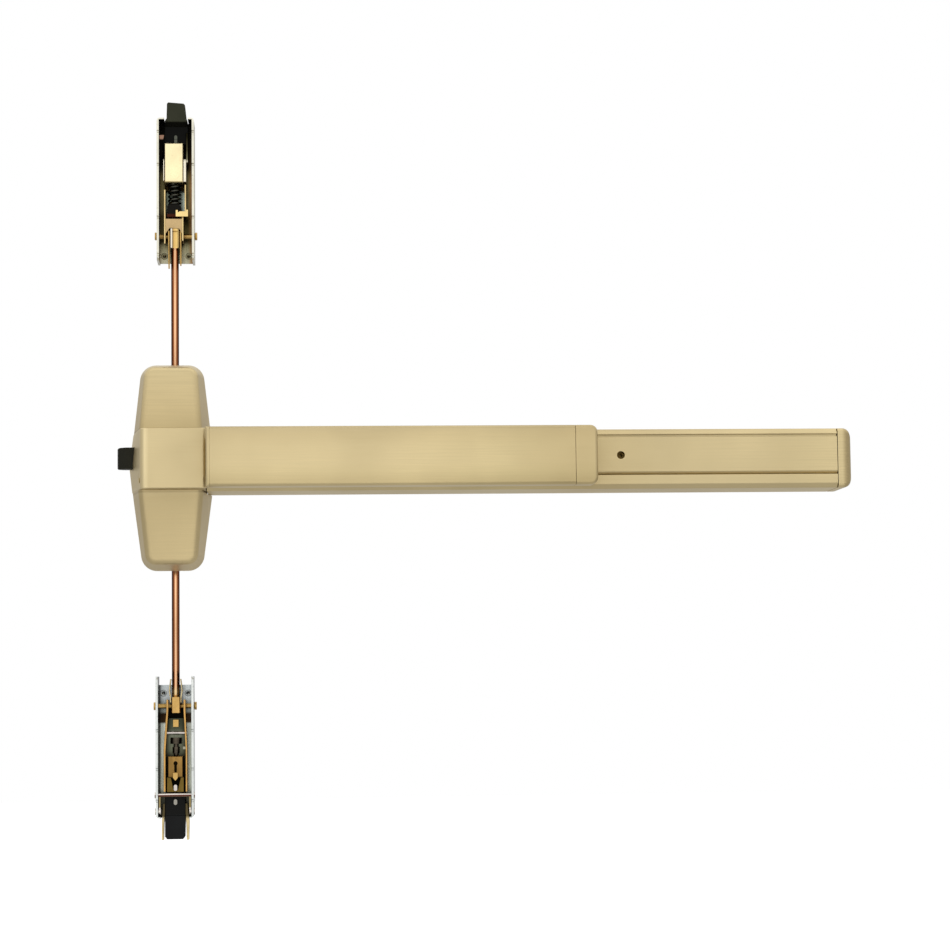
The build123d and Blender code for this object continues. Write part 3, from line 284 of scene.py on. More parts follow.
def top_case_finish(t, base):
    """Painted light and shade inside the channel: painted black shadow behind the bolt, olive below it, pale
    painted light at the rod's end, and a painted coppery reflection along the right wall.
    """
    low = top_case[0][2]
    # painted shade down the channel's back, black up behind the bolt
    back = t.gradient(t.z, (
        (low, linear(186, 182, 156)), (low + 18 * MM, linear(140, 136, 104)),
        (low + 26 * MM, linear(70, 64, 36)), (low + 50 * MM, linear(66, 60, 34)),
        (low + 58 * MM, linear(104, 98, 66)), (low + 92 * MM, linear(96, 88, 56)),
        (low + 98 * MM, linear(26, 23, 12)), (low + 104 * MM, BLACK),
    ))
    # painted coppery reflection and shade on the side walls
    side = t.gradient(t.z, (
        (low, linear(150, 116, 72)), (low + 30 * MM, linear(112, 84, 50)),
        (low + 80 * MM, linear(150, 110, 70)), (low + 100 * MM, linear(84, 64, 38)),
        (low + 122 * MM, linear(20, 16, 8)),
    ))
    mask, inner = case_inside(t, top_case, back, side)
    # painted coppery reflection along the right wall
    right = t.ramp(t.x, top_case[1][0] - 8 * MM, top_case[1][0] - 2.6 * MM, soft=True)
    inner = t.mix(right, inner, side)
    # painted greenish reflection and shade on the back below the block
    middle = t.inside(t.x, top_block[0][0] + 1 * MM, top_block[1][0] + 1 * MM, 1 * MM)
    pale = t.inside(t.z, top_block[0][2] - 28 * MM, top_block[0][2] + 2 * MM, 2 * MM)
    inner = t.mix(t.math("MULTIPLY", pale, middle), inner, t.gradient(t.x, (
        (top_block[0][0], linear(120, 132, 118)), (-2 * MM, linear(56, 60, 50)),
        (3 * MM, linear(70, 74, 62)), (top_block[1][0], linear(160, 172, 160)),
    )))
    # painted black shadow behind the rod's end
    arch = t.inside(t.x, rod_end[0][0] - 1.2 * MM, rod_end[1][0] + 2.6 * MM, 0.4 * MM)
    gap = t.inside(t.z, rod_end[0][2] + 4 * MM, rod_end[1][2] + 4 * MM, 2 * MM)
    inner = t.mix(t.math("MULTIPLY", arch, gap), inner, BLACK)
    return t.mix(mask, base, inner)


def bottom_case_finish(t, base):
    """Painted light and shade inside the channel: a pale grey-green back with painted dark bands, side walls
    painted dark as shade, a painted shadow along the left wall and a painted black shadow band below the
    cross pin.
    """
    high = bottom_case[1][2]
    # the back down the channel, with painted dark bands of shade
    back = t.gradient(t.z, (
        (bottom_case[0][2], linear(60, 58, 46)), (high - 118 * MM, linear(84, 84, 70)),
        (high - 112 * MM, linear(186, 190, 174)), (high - 47 * MM, linear(188, 192, 180)),
        (high - 45.5 * MM, linear(48, 34, 20)), (high - 37 * MM, linear(40, 28, 16)),
        (high - 35 * MM, linear(120, 124, 116)), (high - 26 * MM, linear(150, 156, 152)),
        (high - 20 * MM, linear(186, 192, 192)),
    ))
    # the side walls are painted dark as shade
    mask, inner = case_inside(t, bottom_case, back, linear(20, 17, 10))
    # painted shadow along the left wall
    left = t.ramp(t.x, bottom_case[0][0] + WALL + 0.6 * MM, bottom_case[0][0] + WALL + 2.2 * MM, 1.0, 0.0)
    inner = t.mix(t.math("MULTIPLY", left, 0.85), inner, linear(20, 17, 10))
    # painted black shadow between the strips below the cross pin
    between = t.inside(t.x, lower_carriage[0][0] + 3 * MM, lower_carriage[1][0] - 3 * MM, 0.5 * MM)
    behind_pin = t.inside(t.z, high - 46 * MM, high - 27 * MM, 1.5 * MM)
    inner = t.mix(t.math("MULTIPLY", between, behind_pin), inner, BLACK)
    return t.mix(mask, base, inner)


def top_carriage_finish(t, base):
    """Painted shade on the web under the block, and a beige-brown arch."""
    front = top_carriage[0][1]
    behind = t.ramp(t.y, front + 1.2 * MM, front + 2.2 * MM)
    # painted shade on the web, darkest under the block
    web = t.gradient(t.z, (
        (rod_end[1][2] - 2 * MM, linear(150, 122, 90)), (rod_end[1][2] + 10 * MM, linear(172, 142, 106)),
        (rod_end[1][2] + 13 * MM, linear(60, 30, 12)), (top_block[0][2] - 10 * MM, linear(30, 26, 16)),
        (top_block[0][2], linear(34, 26, 12)),
    ))
    return t.mix(behind, base, web)


def lower_carriage_finish(t, base):
    """Painted light and shade on the web between the strips: a greenish painted reflection above, painted
    black shadow behind the blocks.
    """
    front = lower_carriage[0][1]
    behind = t.ramp(t.y, front + 2.5 * MM, front + 4.5 * MM)
    low = lower_carriage[0][2]
    # painted shadow and reflection down the web
    web = t.gradient(t.z, (
        (low, BLACK), (low + 16 * MM, BLACK), (low + 26 * MM, linear(26, 22, 12)),
        (low + 34 * MM, linear(34, 32, 22)), (low + 40 * MM, linear(96, 98, 78)),
        (low + 58 * MM, linear(118, 122, 104)), (low + 62 * MM, linear(74, 78, 62)),
        (low + 72 * MM, linear(60, 64, 50)), (low + 78 * MM, BLACK),
    ))
    # painted shade, darker towards the strips
    edge = t.math("ABSOLUTE", t.math("SUBTRACT", t.x, -0.2 * MM), 0.0)
    web = t.mix(t.ramp(edge, 4 * MM, 9 * MM, 0.0, 0.7), web, BLACK)
    return t.mix(behind, base, web)


def keyhole_finish(t, base):
    """Painted shadow: the keyhole cut is painted black inside."""
    depth = t.ramp(t.y, keyhole[0][1] + 0.6 * MM, keyhole[0][1] + 1.6 * MM)
    across = t.inside(t.x, -2.4 * MM, 2.4 * MM, 0.1 * MM)
    return t.mix(t.math("MULTIPLY", depth, across), base, linear(10, 8, 5))


def rod_finish(t, base):
    """A painted reflection across the rod: a bright painted highlight line along the front and painted dark
    shade towards the sides, and fresh plating at the lower rod's tip.
    """
    # painted highlight and shade, by the distance from the rod's axis
    sides = t.math("ABSOLUTE", t.math("SUBTRACT", t.x, 0.2 * MM), 0.0)
    painted_sheen = t.gradient(sides, (
        (0.0, linear(246, 206, 162)), (0.5 * MM, linear(236, 186, 140)), (1.2 * MM, linear(196, 126, 84)),
        (2.0 * MM, linear(138, 76, 40)), (2.8 * MM, linear(74, 34, 13)), (3.9 * MM, linear(26, 10, 3)),
    ))
    base = t.mix(0.92, base, painted_sheen)
    tip = t.ramp(t.z, bottom_rod_tip + 12 * MM, bottom_rod_tip + 17 * MM, 1.0, 0.0)
    return t.mix(t.math("MULTIPLY", tip, 0.75), base, linear(232, 206, 150))


def brass_finish(t, base):
    """Painted light and shade over bar, pad and case: a slow painted drift of brightness along the bar,
    painted shading up the pad and the wings, a painted highlight along the band's left edge and painted
    shade lines along the band's top and bottom.
    """
    # painted drift of brightness along the bar
    along = t.gradient(t.x, (
        (0.0, linear(251, 251, 251)), (0.10, linear(255, 255, 255)), (0.20, linear(255, 255, 255)),
        (0.33, linear(248, 248, 245)), (0.40, linear(250, 248, 243)), (0.48, linear(253, 253, 253)),
        (0.58, linear(255, 255, 255)), (0.66, linear(251, 251, 249)),
    ))
    base = t.mix(1.0, base, along, "MULTIPLY")
    # painted shading up the pad's face
    across = t.gradient(t.z, (
        (-30 * MM, linear(230, 228, 222)), (-22 * MM, linear(238, 237, 233)),
        (-14 * MM, linear(250, 250, 248)), (-6 * MM, linear(255, 255, 255)),
        (10 * MM, linear(255, 255, 255)), (22 * MM, linear(250, 249, 248)),
        (31 * MM, linear(241, 241, 243)),
    ))
    on_pad = t.math("MULTIPLY", t.inside(t.x, BAND_EAST + 2 * MM, pad_end + 1 * MM, 2 * MM), t.upright())
    base = t.mix(on_pad, base, t.mix(1.0, base, across, "MULTIPLY"))
    on_case = t.ramp(t.x, BAND_EAST, BAND_EAST + 1 * MM, 1.0, 0.0)
    # painted shading up the wings
    wings = t.gradient(t.z, (
        (-104 * MM, linear(248, 246, 242)), (-34 * MM, linear(244, 242, 237)),
        (-27 * MM, linear(255, 255, 255)), (31 * MM, linear(255, 255, 255)),
        (34 * MM, linear(236, 233, 226)), (64 * MM, linear(247, 245, 241)),
        (100 * MM, linear(251, 251, 250)),
    ))
    base = t.mix(on_case, base, t.mix(1.0, base, wings, "MULTIPLY"))
    # painted highlight along the band's left edge
    left_edge = t.inside(t.x, -29.5 * MM, -24.5 * MM, 2.5 * MM)
    left_edge_highlight = t.math("MULTIPLY", left_edge, t.inside(t.z, BAND_LOW, BAND_HIGH, 1 * MM))
    base = t.mix(t.math("MULTIPLY", left_edge_highlight, 0.7), base, linear(238, 220, 174))
    # painted shade lines along the band's top and bottom edges
    above = t.inside(t.z, BAND_HIGH, BAND_HIGH + 2.2 * MM, 0.7 * MM)
    below = t.inside(t.z, BAND_LOW - 2.2 * MM, BAND_LOW, 0.7 * MM)
    lines = t.math("MULTIPLY", t.math("MAXIMUM", above, below), on_case)
    return t.mix(t.math("MULTIPLY", lines, 0.33), base, linear(128, 106, 66))


def cap_finish(t, base):
    """The bar's finish, with painted shade where the cap rounds away to its end."""
    return t.mix(1.0, brass_finish(t, base), t.gradient(t.x, (
        (cap_tip - 10 * MM, linear(255, 255, 255)), (cap_tip - 7 * MM, linear(228, 225, 220)),
        (cap_tip, linear(222, 218, 212)),
    )), "MULTIPLY")


def cheek_finish(t, base):
    """The cheeks are in the shade inside the case."""
    mouth = bottom_case[0][2]
    return t.mix(t.ramp(t.z, mouth - 1 * MM, mouth + 2 * MM), base, linear(84, 74, 50))


def rod_end_finish(t, base):
    """Silver along the left leg and gold along the rest, with dark stripes painted as shade at the inner
    walls.
    """
    left, right = rod_end[0][0], rod_end[1][0]
    return t.mix(0.8, base, t.gradient(t.x, (
        (left, linear(206, 202, 196)), (left + 2.0 * MM, linear(226, 220, 206)),
        (left + 3.0 * MM, linear(120, 86, 36)), (left + 4.4 * MM, linear(214, 170, 92)),
        (right - 2.6 * MM, linear(232, 196, 120)), (right - 1.6 * MM, linear(150, 118, 62)),
        (right, linear(222, 204, 150)),
    )))


def leaf_finish(t, base):
    """A small pinkish-brown tip, painted black below it as shade."""
    return t.mix(t.ramp(t.z, leaf_top - 5 * MM, leaf_top - 3.4 * MM), linear(9, 8, 5), base)


def lug_finish(t, base):
    """A rusty foot under the black lug."""
    return t.mix(t.ramp(t.z, lug_low + 2.2 * MM, lug_low + 3.4 * MM), linear(78, 34, 14), base)


def back_plate_finish(t, base):
    """Bright cheeks beside the block that fall into the dark above it."""
    high = top_block[0][2] + 22 * MM
    return t.mix(t.ramp(t.z, high - 0.6 * MM, high + 2.5 * MM), base, t.gradient(t.z, (
        (high, linear(120, 116, 88)), (high + 12 * MM, linear(64, 60, 40)),
        (high + 26 * MM, linear(26, 24, 14)),
    )))


def top_bolt_finish(t, base):
    """A grey-green nose above a shank painted black as shade."""
    return t.mix(t.ramp(t.z, bolt_lip - 1.0 * MM, bolt_lip - 0.2 * MM), BLACK, base)


def bottom_bolt_finish(t, base):
    """The shank inside the case is painted blacker than the nose, as shade."""
    return t.mix(t.ramp(t.z, bar_box[0][2] - 0.6 * MM, bar_box[0][2] + 0.6 * MM), base, BLACK)


def front_bar_finish(t, base):
    """A bright bar with dark red painted shade along its underside, olive legs and pale bosses."""
    # painted shade along the bar's underside
    under = t.inside(t.z, bar_box[1][2] - 4.4 * MM, bar_box[1][2] - 2.6 * MM, 0.3 * MM)
    base = t.mix(under, base, linear(86, 44, 34))
    legs = t.inside(t.z, bar_box[0][2] + 7 * MM, bar_box[1][2] - 4.4 * MM, 0.5 * MM)
    return t.mix(legs, base, linear(148, 132, 92))


def silver_pin_finish(t, base):
    """The lowest pin sits in the shade of the bar."""
    low = bar_box[1][2] - 4 * MM
    base = t.mix(t.ramp(t.z, low - 1 * MM, low), linear(150, 146, 136), base)
    stud = t.inside(t.z, bar_box[0][2] + 62 * MM, bar_box[0][2] + 70 * MM, 0.5 * MM)
    return t.mix(stud, base, linear(150, 148, 130))


MATERIALS = {
    "satin_brass": metal(
        "satin_brass", linear(219, 200, 154), rough=0.4, grain=700, stretch=ALONG_X, depth_mm=0.03,
        tone=0.14, mottle=7.0, edge=1.2, edge_mm=1.4, recess_shade=SEAM, extra=brass_finish,
    ),
    "brass_screw": metal(
        "brass_screw", linear(150, 130, 84), rough=0.35, grain=900, stretch=EVEN, depth_mm=0.03, tone=0.15,
        mottle=60, edge=1.3, edge_mm=0.3, recess_shade=SHALLOW,
    ),
    "plain_steel": metal(
        "plain_steel", linear(168, 168, 164), rough=0.36, grain=1200, stretch=EVEN, depth_mm=0.04,
        tone=0.16, mottle=40, edge=1.2, edge_mm=0.4, recess_shade=SHALLOW,
    ),
    "spring_steel": metal(
        "spring_steel", linear(84, 84, 76), rough=0.3, grain=1500, stretch=EVEN, depth_mm=0.03, tone=0.2,
        mottle=60, edge=1.3, edge_mm=0.2, recess_shade=FAINT,
    ),
    "zinc_case": metal(
        "zinc_case", linear(226, 222, 204), rough=0.3, grain=900, stretch=ALONG_Z, depth_mm=0.04, tone=0.14,
        mottle=45, edge=0.6, edge_mm=0.35, spots=0.5, recess_shade=FAINT, extra=top_case_finish,
    ),
    "silver_steel": metal(
        "silver_steel", linear(212, 204, 196), rough=0.2, grain=1600, stretch=EVEN, depth_mm=0.02,
        tone=0.12, mottle=80, edge=0.7, edge_mm=0.2, recess_shade=FAINT,
    ),
    "yellow_zinc": metal(
        "yellow_zinc", linear(206, 168, 98), rough=0.28, grain=1200, stretch=ALONG_Z, depth_mm=0.03,
        tone=0.25, mottle=70, edge=1.2, edge_mm=0.3, spots=0.4, recess_shade=SHALLOW,
    ),
    "bright_brass": metal(
        "bright_brass", linear(204, 166, 98), rough=0.26, grain=1500, stretch=ALONG_Z, depth_mm=0.05,
        tone=0.16, mottle=90, edge=1.2, edge_mm=0.4, spots=0.2, recess_shade=FAINT,
    ),
    "bronze": metal(
        "bronze", linear(158, 122, 66), rough=0.34, grain=900, stretch=ALONG_Z, depth_mm=0.06, tone=0.4,
        mottle=60, edge=1.35, edge_mm=0.3, spots=0.4, recess_shade=SHALLOW, extra=keyhole_finish,
    ),
    "copper_rod": metal(
        "copper_rod", linear(214, 150, 112), rough=0.22, grain=1300, stretch=ALONG_Z, depth_mm=0.02,
        tone=0.14, mottle=30, edge=1.0, edge_mm=0.3, recess_shade=FAINT, extra=rod_finish,
    ),
    "black_metal": metal(
        "black_metal", linear(38, 37, 28), rough=0.42, grain=1400, stretch=EVEN, depth_mm=0.04, tone=0.25,
        mottle=60, edge=1.6, edge_mm=0.4, metallic=0.0, recess_shade=SHALLOW, specular=0.1,
    ),
    "cream_zinc": metal(
        "cream_zinc", linear(214, 194, 146), rough=0.3, grain=1300, stretch=ALONG_Z, depth_mm=0.03,
        tone=0.2, mottle=60, edge=1.1, edge_mm=0.3, spots=0.4, recess_shade=FAINT,
    ),
}
OWN_FINISH = {
    "bottom_latch_case": metal(
        "zinc_case_lower", linear(220, 223, 219), rough=0.26, grain=900, stretch=ALONG_Z, depth_mm=0.04,
        tone=0.14, mottle=45, edge=0.5, edge_mm=0.35, spots=0.6, recess_shade=FAINT, extra=bottom_case_finish,
    ),
    "top_brass_block": metal(
        "cream_brass", linear(246, 231, 184), rough=0.3, grain=240, stretch=(0.6, 1, 0.35), depth_mm=0.06,
        tone=0.12, mottle=60, edge=0.9, edge_mm=0.3, spots=0.15, recess_shade=NO_RECESS_SHADE,
    ),
    "top_tab": metal(
        "gold_tab", linear(236, 208, 142), rough=0.24, grain=1200, stretch=ALONG_X, depth_mm=0.03,
        tone=0.14, mottle=70, edge=1.0, edge_mm=0.3, recess_shade=NO_RECESS_SHADE,
    ),
    "top_back_plate": metal(
        "cream_plate", linear(238, 230, 208), rough=0.3, grain=1200, stretch=ALONG_Z, depth_mm=0.03,
        tone=0.08, mottle=70, edge=1.0, edge_mm=0.3, recess_shade=NO_RECESS_SHADE, extra=back_plate_finish,
    ),
    "top_carriage": metal(
        "yellow_zinc_top", linear(222, 196, 138), rough=0.28, grain=1200, stretch=ALONG_Z, depth_mm=0.03,
        tone=0.2, mottle=70, edge=1.05, edge_mm=0.3, spots=0.3, recess_shade=NO_RECESS_SHADE, extra=top_carriage_finish,
    ),
    "top_rod_end": metal(
        "silver_gold_end", linear(220, 196, 140), rough=0.26, grain=900, stretch=ALONG_Z, depth_mm=0.04,
        tone=0.1, mottle=70, edge=1.0, edge_mm=0.3, recess_shade=FAINT, extra=rod_end_finish,
    ),
    "top_leaf": metal(
        "brown_leaf", linear(150, 116, 96), rough=0.3, grain=900, stretch=ALONG_Z, depth_mm=0.04, tone=0.2,
        mottle=70, edge=1.0, edge_mm=0.3, recess_shade=NO_RECESS_SHADE, extra=leaf_finish,
    ),
    "top_bolt": metal(
        "grey_green_bolt", linear(60, 61, 47), rough=0.45, grain=1400, stretch=EVEN, depth_mm=0.04,
        tone=0.15, mottle=60, edge=0.5, edge_mm=0.4, metallic=0.0, recess_shade=NO_RECESS_SHADE, specular=0.08,
        extra=top_bolt_finish,
    ),
    # a darker copy of the steel, painted as shade for the screw deep in the case
    "top_bolt_screw": metal(
        "shaded_screw", linear(84, 86, 76), rough=0.3, grain=1400, stretch=EVEN, depth_mm=0.03, tone=0.3,
        mottle=80, edge=1.0, edge_mm=0.3, recess_shade=SHALLOW,
    ),
    "bottom_rod_end": metal(
        "gold_end", linear(206, 166, 98), rough=0.3, grain=900, stretch=ALONG_Z, depth_mm=0.04, tone=0.2,
        mottle=70, edge=1.1, edge_mm=0.3, spots=0.3, recess_shade=FAINT,
    ),
    "bottom_vee_plate": metal(
        "dark_bronze", linear(122, 100, 48), rough=0.34, grain=900, stretch=ALONG_Z, depth_mm=0.06,
        tone=0.3, mottle=60, edge=1.2, edge_mm=0.3, spots=0.4, recess_shade=SHALLOW,
    ),
    "bottom_silver_pins": metal(
        "silver_pins", linear(206, 198, 190), rough=0.2, grain=1600, stretch=EVEN, depth_mm=0.02, tone=0.12,
        mottle=80, edge=0.6, edge_mm=0.2, recess_shade=FAINT, extra=silver_pin_finish,
    ),
    "bottom_front_bar": metal(
        "bright_bar", linear(226, 218, 208), rough=0.2, grain=1600, stretch=ALONG_X, depth_mm=0.02,
        tone=0.12, mottle=80, edge=0.8, edge_mm=0.2, recess_shade=FAINT, extra=front_bar_finish,
    ),
    "bottom_bolt": metal(
        "coal", linear(20, 21, 21), rough=0.5, grain=1400, stretch=EVEN, depth_mm=0.04, tone=0.3, mottle=60,
        edge=0.5, edge_mm=0.4, metallic=0.0, recess_shade=NO_RECESS_SHADE, specular=0.14, extra=bottom_bolt_finish,
    ),
    "top_spring_lug": metal(
        "black_lug", linear(24, 22, 16), rough=0.42, grain=1400, stretch=EVEN, depth_mm=0.04, tone=0.25,
        mottle=60, edge=1.4, edge_mm=0.4, metallic=0.0, recess_shade=NO_RECESS_SHADE, specular=0.08, extra=lug_finish,
    ),
    "bottom_bolt_cheeks": metal(
        "cream_cheeks", linear(214, 194, 146), rough=0.3, grain=1300, stretch=ALONG_Z, depth_mm=0.03,
        tone=0.2, mottle=60, edge=1.1, edge_mm=0.3, spots=0.4, recess_shade=FAINT, extra=cheek_finish,
    ),
    "end_cap": metal(
        "satin_brass_cap", linear(219, 200, 154), rough=0.4, grain=700, stretch=ALONG_X, depth_mm=0.03,
        tone=0.14, mottle=7.0, edge=1.2, edge_mm=1.4, recess_shade=SEAM, extra=cap_finish,
    ),
    "dogging_screw": metal(
        "dark_socket", linear(124, 102, 56), rough=0.4, grain=900, stretch=EVEN, depth_mm=0.03, tone=0.15,
        mottle=60, edge=1.1, edge_mm=0.3, recess_shade=NO_RECESS_SHADE,
    ),
    "bottom_adjuster": metal(
        "gunmetal", linear(86, 78, 66), rough=0.2, grain=1400, stretch=EVEN, depth_mm=0.03, tone=0.3,
        mottle=80, edge=1.6, edge_mm=0.3, recess_shade=SHALLOW,
    ),
    "bottom_carriage": metal(
        "yellow_zinc_low", linear(206, 160, 92), rough=0.28, grain=1200, stretch=ALONG_Z, depth_mm=0.03,
        tone=0.22, mottle=70, edge=1.2, edge_mm=0.3, spots=0.4, recess_shade=NO_RECESS_SHADE, extra=lower_carriage_finish,
    ),
}

BEVEL_MM = {
    "satin_brass": 0.5, "brass_screw": 0.15, "plain_steel": 0.25, "zinc_case": 0.3, "silver_steel": 0.25,
    "yellow_zinc": 0.25, "bright_brass": 0.4, "bronze": 0.3, "copper_rod": 0.3, "black_metal": 0.5,
    "cream_zinc": 0.3,
}
WELD_MM = 0.004
SHARP_DEGREES = 34


def dress(obj, material):
    obj.data.materials.clear()
    obj.data.materials.append(material)


def soften(obj, width_mm):
    """Rounded edges that catch the light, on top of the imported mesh."""
    weld = obj.modifiers.new("weld", "WELD")
    weld.merge_threshold = WELD_MM * MM
    bevel = obj.modifiers.new("bevel", "BEVEL")
    bevel.width = width_mm * MM
    bevel.segments = 2
    bevel.limit_method = "ANGLE"
    bevel.angle_limit = math.radians(SHARP_DEGREES)
    bevel.use_clamp_overlap = True
    bevel.harden_normals = True
    bevel.miter_outer = "MITER_ARC"


for name, obj in nodes.items():
    dress(obj, OWN_FINISH.get(name, MATERIALS[SLOT_OF[name]]))
    if SLOT_OF[name] in BEVEL_MM:
        soften(obj, BEVEL_MM[SLOT_OF[name]])

# springs, end cap and small screws

STEPS_PER_TURN = 32
WIRE_SIDES = 10
CLOSED_TURNS = 0.75
ROUND_STEPS = 32
CAP_ROUND, CAP_CORNER, CAP_WALL = 9 * MM, 4 * MM, 2 * MM
CAP_SHARP_DEGREES = 40


def mesh_object(name, bm, slot_name, body):
    mesh = bpy.data.meshes.new(name)
    bm.normal_update()
    bm.to_mesh(mesh)
    bm.free()
    for polygon in mesh.polygons:
        polygon.use_smooth = True
    obj = bpy.data.objects.new(name, mesh)
    scene.collection.objects.link(obj)
    dress(obj, MATERIALS[slot_name])
    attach(obj, body)
    return obj


def join_rings(bm, rows):
    """Faces between closed rings of points."""
    for near, far in zip(rows, rows[1:]):
        count = len(near)
        for k in range(count):
            bm.faces.new((near[k], near[(k + 1) % count], far[(k + 1) % count], far[k]))


def coil(origin, axis, side, radius, wire, length, turns):
    """A wound compression spring with closed ends, as one tube that follows a helix."""
    axis, side = Vector(axis), Vector(side)
    other = axis.cross(side)
    steps = int(turns * STEPS_PER_TURN)
    closed = CLOSED_TURNS / turns
    angles = [2 * math.pi * k / WIRE_SIDES for k in range(WIRE_SIDES)]
    bm = bmesh.new()
    rows = []
    for i in range(steps + 1):
        u = i / steps
        if u < closed:
            rise = 0.5 * (u / closed) ** 2 * closed
        elif u > 1 - closed:
            rise = 1 - closed - 0.5 * ((1 - u) / closed) ** 2 * closed
        else:
            rise = u - closed / 2
        rise = rise / (1 - closed)
        turn = u * turns * 2 * math.pi
        out = side * math.cos(turn) + other * math.sin(turn)
        centre = Vector(origin) + axis * (wire + rise * (length - 2 * wire)) + out * radius
        rows.append([bm.verts.new(centre + (out * math.cos(a) + axis * math.sin(a)) * wire) for a in angles])
    join_rings(bm, rows)
    bm.faces.new(rows[0][::-1])
    bm.faces.new(rows[-1])
    bmesh.ops.recalc_face_normals(bm, faces=bm.faces)
    return bm


def spring_for(node, axis_index, wire_mm, turns, fixed_high):
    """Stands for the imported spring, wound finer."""
    wire = wire_mm * MM
    low, high = (Vector(corner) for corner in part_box(node))
    centre = (low + high) / 2
    axis = Vector([1.0 if i == axis_index else 0.0 for i in range(3)])
    origin = centre.copy()
    origin[axis_index] = low[axis_index]
    radius = (high[1] - low[1]) / 2 - wire
    bm = coil(origin, axis, (0, 1, 0), radius, wire, high[axis_index] - low[axis_index], turns)
    obj = mesh_object(node + "_wire", bm, "spring_steel", "frame")
    anchor = centre.copy()
    anchor[axis_index] = high[axis_index] if fixed_high else low[axis_index]
    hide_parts(node)
    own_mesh(obj)


def turned(profile, place):
    """A round piece about the Y axis: the profile gives radius and depth pairs in millimetres."""
    bm = bmesh.new()
    rows = []
    for radius, depth in profile:
        row = []
        for k in range(ROUND_STEPS):
            a = 2 * math.pi * k / ROUND_STEPS
            offset = Vector((radius * math.cos(a), depth, radius * math.sin(a))) * MM
            row.append(bm.verts.new(Vector(place) + offset))
        rows.append(row)
    join_rings(bm, rows)
    bm.faces.new(rows[0])
    bm.faces.new(rows[-1])
    bmesh.ops.recalc_face_normals(bm, faces=bm.faces)
    return bm


def end_cap_shell(low, high, radius, corner, wall):
    """The cap over the bar's end: a rounded cup with an even wall, open to the bar and to the door."""
    half = (high[2] - low[2]) / 2
    middle = (high[2] + low[2]) / 2
    front, back = low[1], high[1]
    arc = [math.radians(a) for a in range(0, 91, 10)]

    def section(x, inset, bend):
        top, face = half - inset, front + inset
        turns = [(top - bend + bend * math.cos(a), face + bend - bend * math.sin(a)) for a in arc]
        upper = [(back, middle + top)] + [(y, middle + z) for z, y in turns]
        return [(x, y, z) for y, z in upper] + [(x, y, 2 * middle - z) for y, z in reversed(upper)]

    start = high[0] - radius
    outer = [section(low[0], 0, corner)] + [
        section(start + radius * math.sin(a), radius * (1 - math.cos(a)), corner) for a in arc
    ]
    tight = radius - wall
    inner = [section(low[0], wall, corner / 2)] + [
        section(start + tight * math.sin(a), wall + tight * (1 - math.cos(a)), corner / 2) for a in arc
    ]
    bm = bmesh.new()
    outer = [[bm.verts.new(point) for point in row] for row in outer]
    inner = [[bm.verts.new(point) for point in row] for row in inner]
    for rows in (outer, inner):
        for near, far in zip(rows, rows[1:]):
            for k in range(len(near) - 1):
                bm.faces.new((near[k], near[k + 1], far[k + 1], far[k]))
        bm.faces.new(rows[-1])
    for k in range(len(outer[0]) - 1):
        bm.faces.new((outer[0][k], outer[0][k + 1], inner[0][k + 1], inner[0][k]))
    rim = [row[0] for row in outer] + [row[-1] for row in reversed(outer)]
    rim += [row[-1] for row in inner] + [row[0] for row in reversed(inner)]
    bm.faces.new(rim)
    bmesh.ops.recalc_face_normals(bm, faces=bm.faces)
    return bm


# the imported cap's end plate is apart from its walls, so the cap is drawn whole here
cap_mesh = end_cap_shell(*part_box("end_cap"), CAP_ROUND, CAP_CORNER, CAP_WALL)
cap = mesh_object("end_cap_shell", cap_mesh, "satin_brass", "frame")
dress(cap, OWN_FINISH["end_cap"])
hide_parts("end_cap")
cap.modifiers.new("flat faces", "WEIGHTED_NORMAL").keep_sharp = True
cap.data.set_sharp_from_angle(angle=math.radians(CAP_SHARP_DEGREES))

spring_for(
    "link_spring", axis_index=0, wire_mm=0.9, turns=9.5, fixed_high=True
)
spring_for(
    "top_spring", axis_index=2, wire_mm=0.9, turns=5.5, fixed_high=False
)

# flat-head screws fill the four holes in the latch cases' backs: radius and depth pairs in millimetres
SCREW_PROFILE = ((0.6, 0.5), (0.7, -0.1), (3.1, -0.12), (3.4, -0.02), (2.3, 0.0), (2.3, 1.9))
SCREW_HEADS = {
    "top_case_screws": metal(
        "top_screw", linear(146, 142, 112), rough=0.35, grain=900, stretch=EVEN, depth_mm=0.03, tone=0.15,
        mottle=60, edge=1.0, edge_mm=0.2, recess_shade=NO_RECESS_SHADE,
    ),
    "bottom_case_screws": metal(
        "bottom_screw", linear(168, 174, 172), rough=0.35, grain=900, stretch=EVEN, depth_mm=0.03,
        tone=0.15, mottle=60, edge=1.0, edge_mm=0.2, recess_shade=NO_RECESS_SHADE,
    ),
}
for mount in record["mounts"]:
    if mount["name"] not in SCREW_HEADS:
        continue
    x, y, z = mount["pos_m"]
    half = mount["dims"]["spacing_x_mm"] * MM / 2
    for side, place_x in (("left", x - half), ("right", x + half)):
        screw_mesh = turned(SCREW_PROFILE, (place_x, y - WALL, z))
        screw = mesh_object(mount["name"] + "_" + side, screw_mesh, "zinc_case", "frame")
        dress(screw, SCREW_HEADS[mount["name"]])

# world, floor, light, camera

world = bpy.data.worlds.new("world")
scene.world = world
world.use_nodes = True
studio = Nodes(world.node_tree)

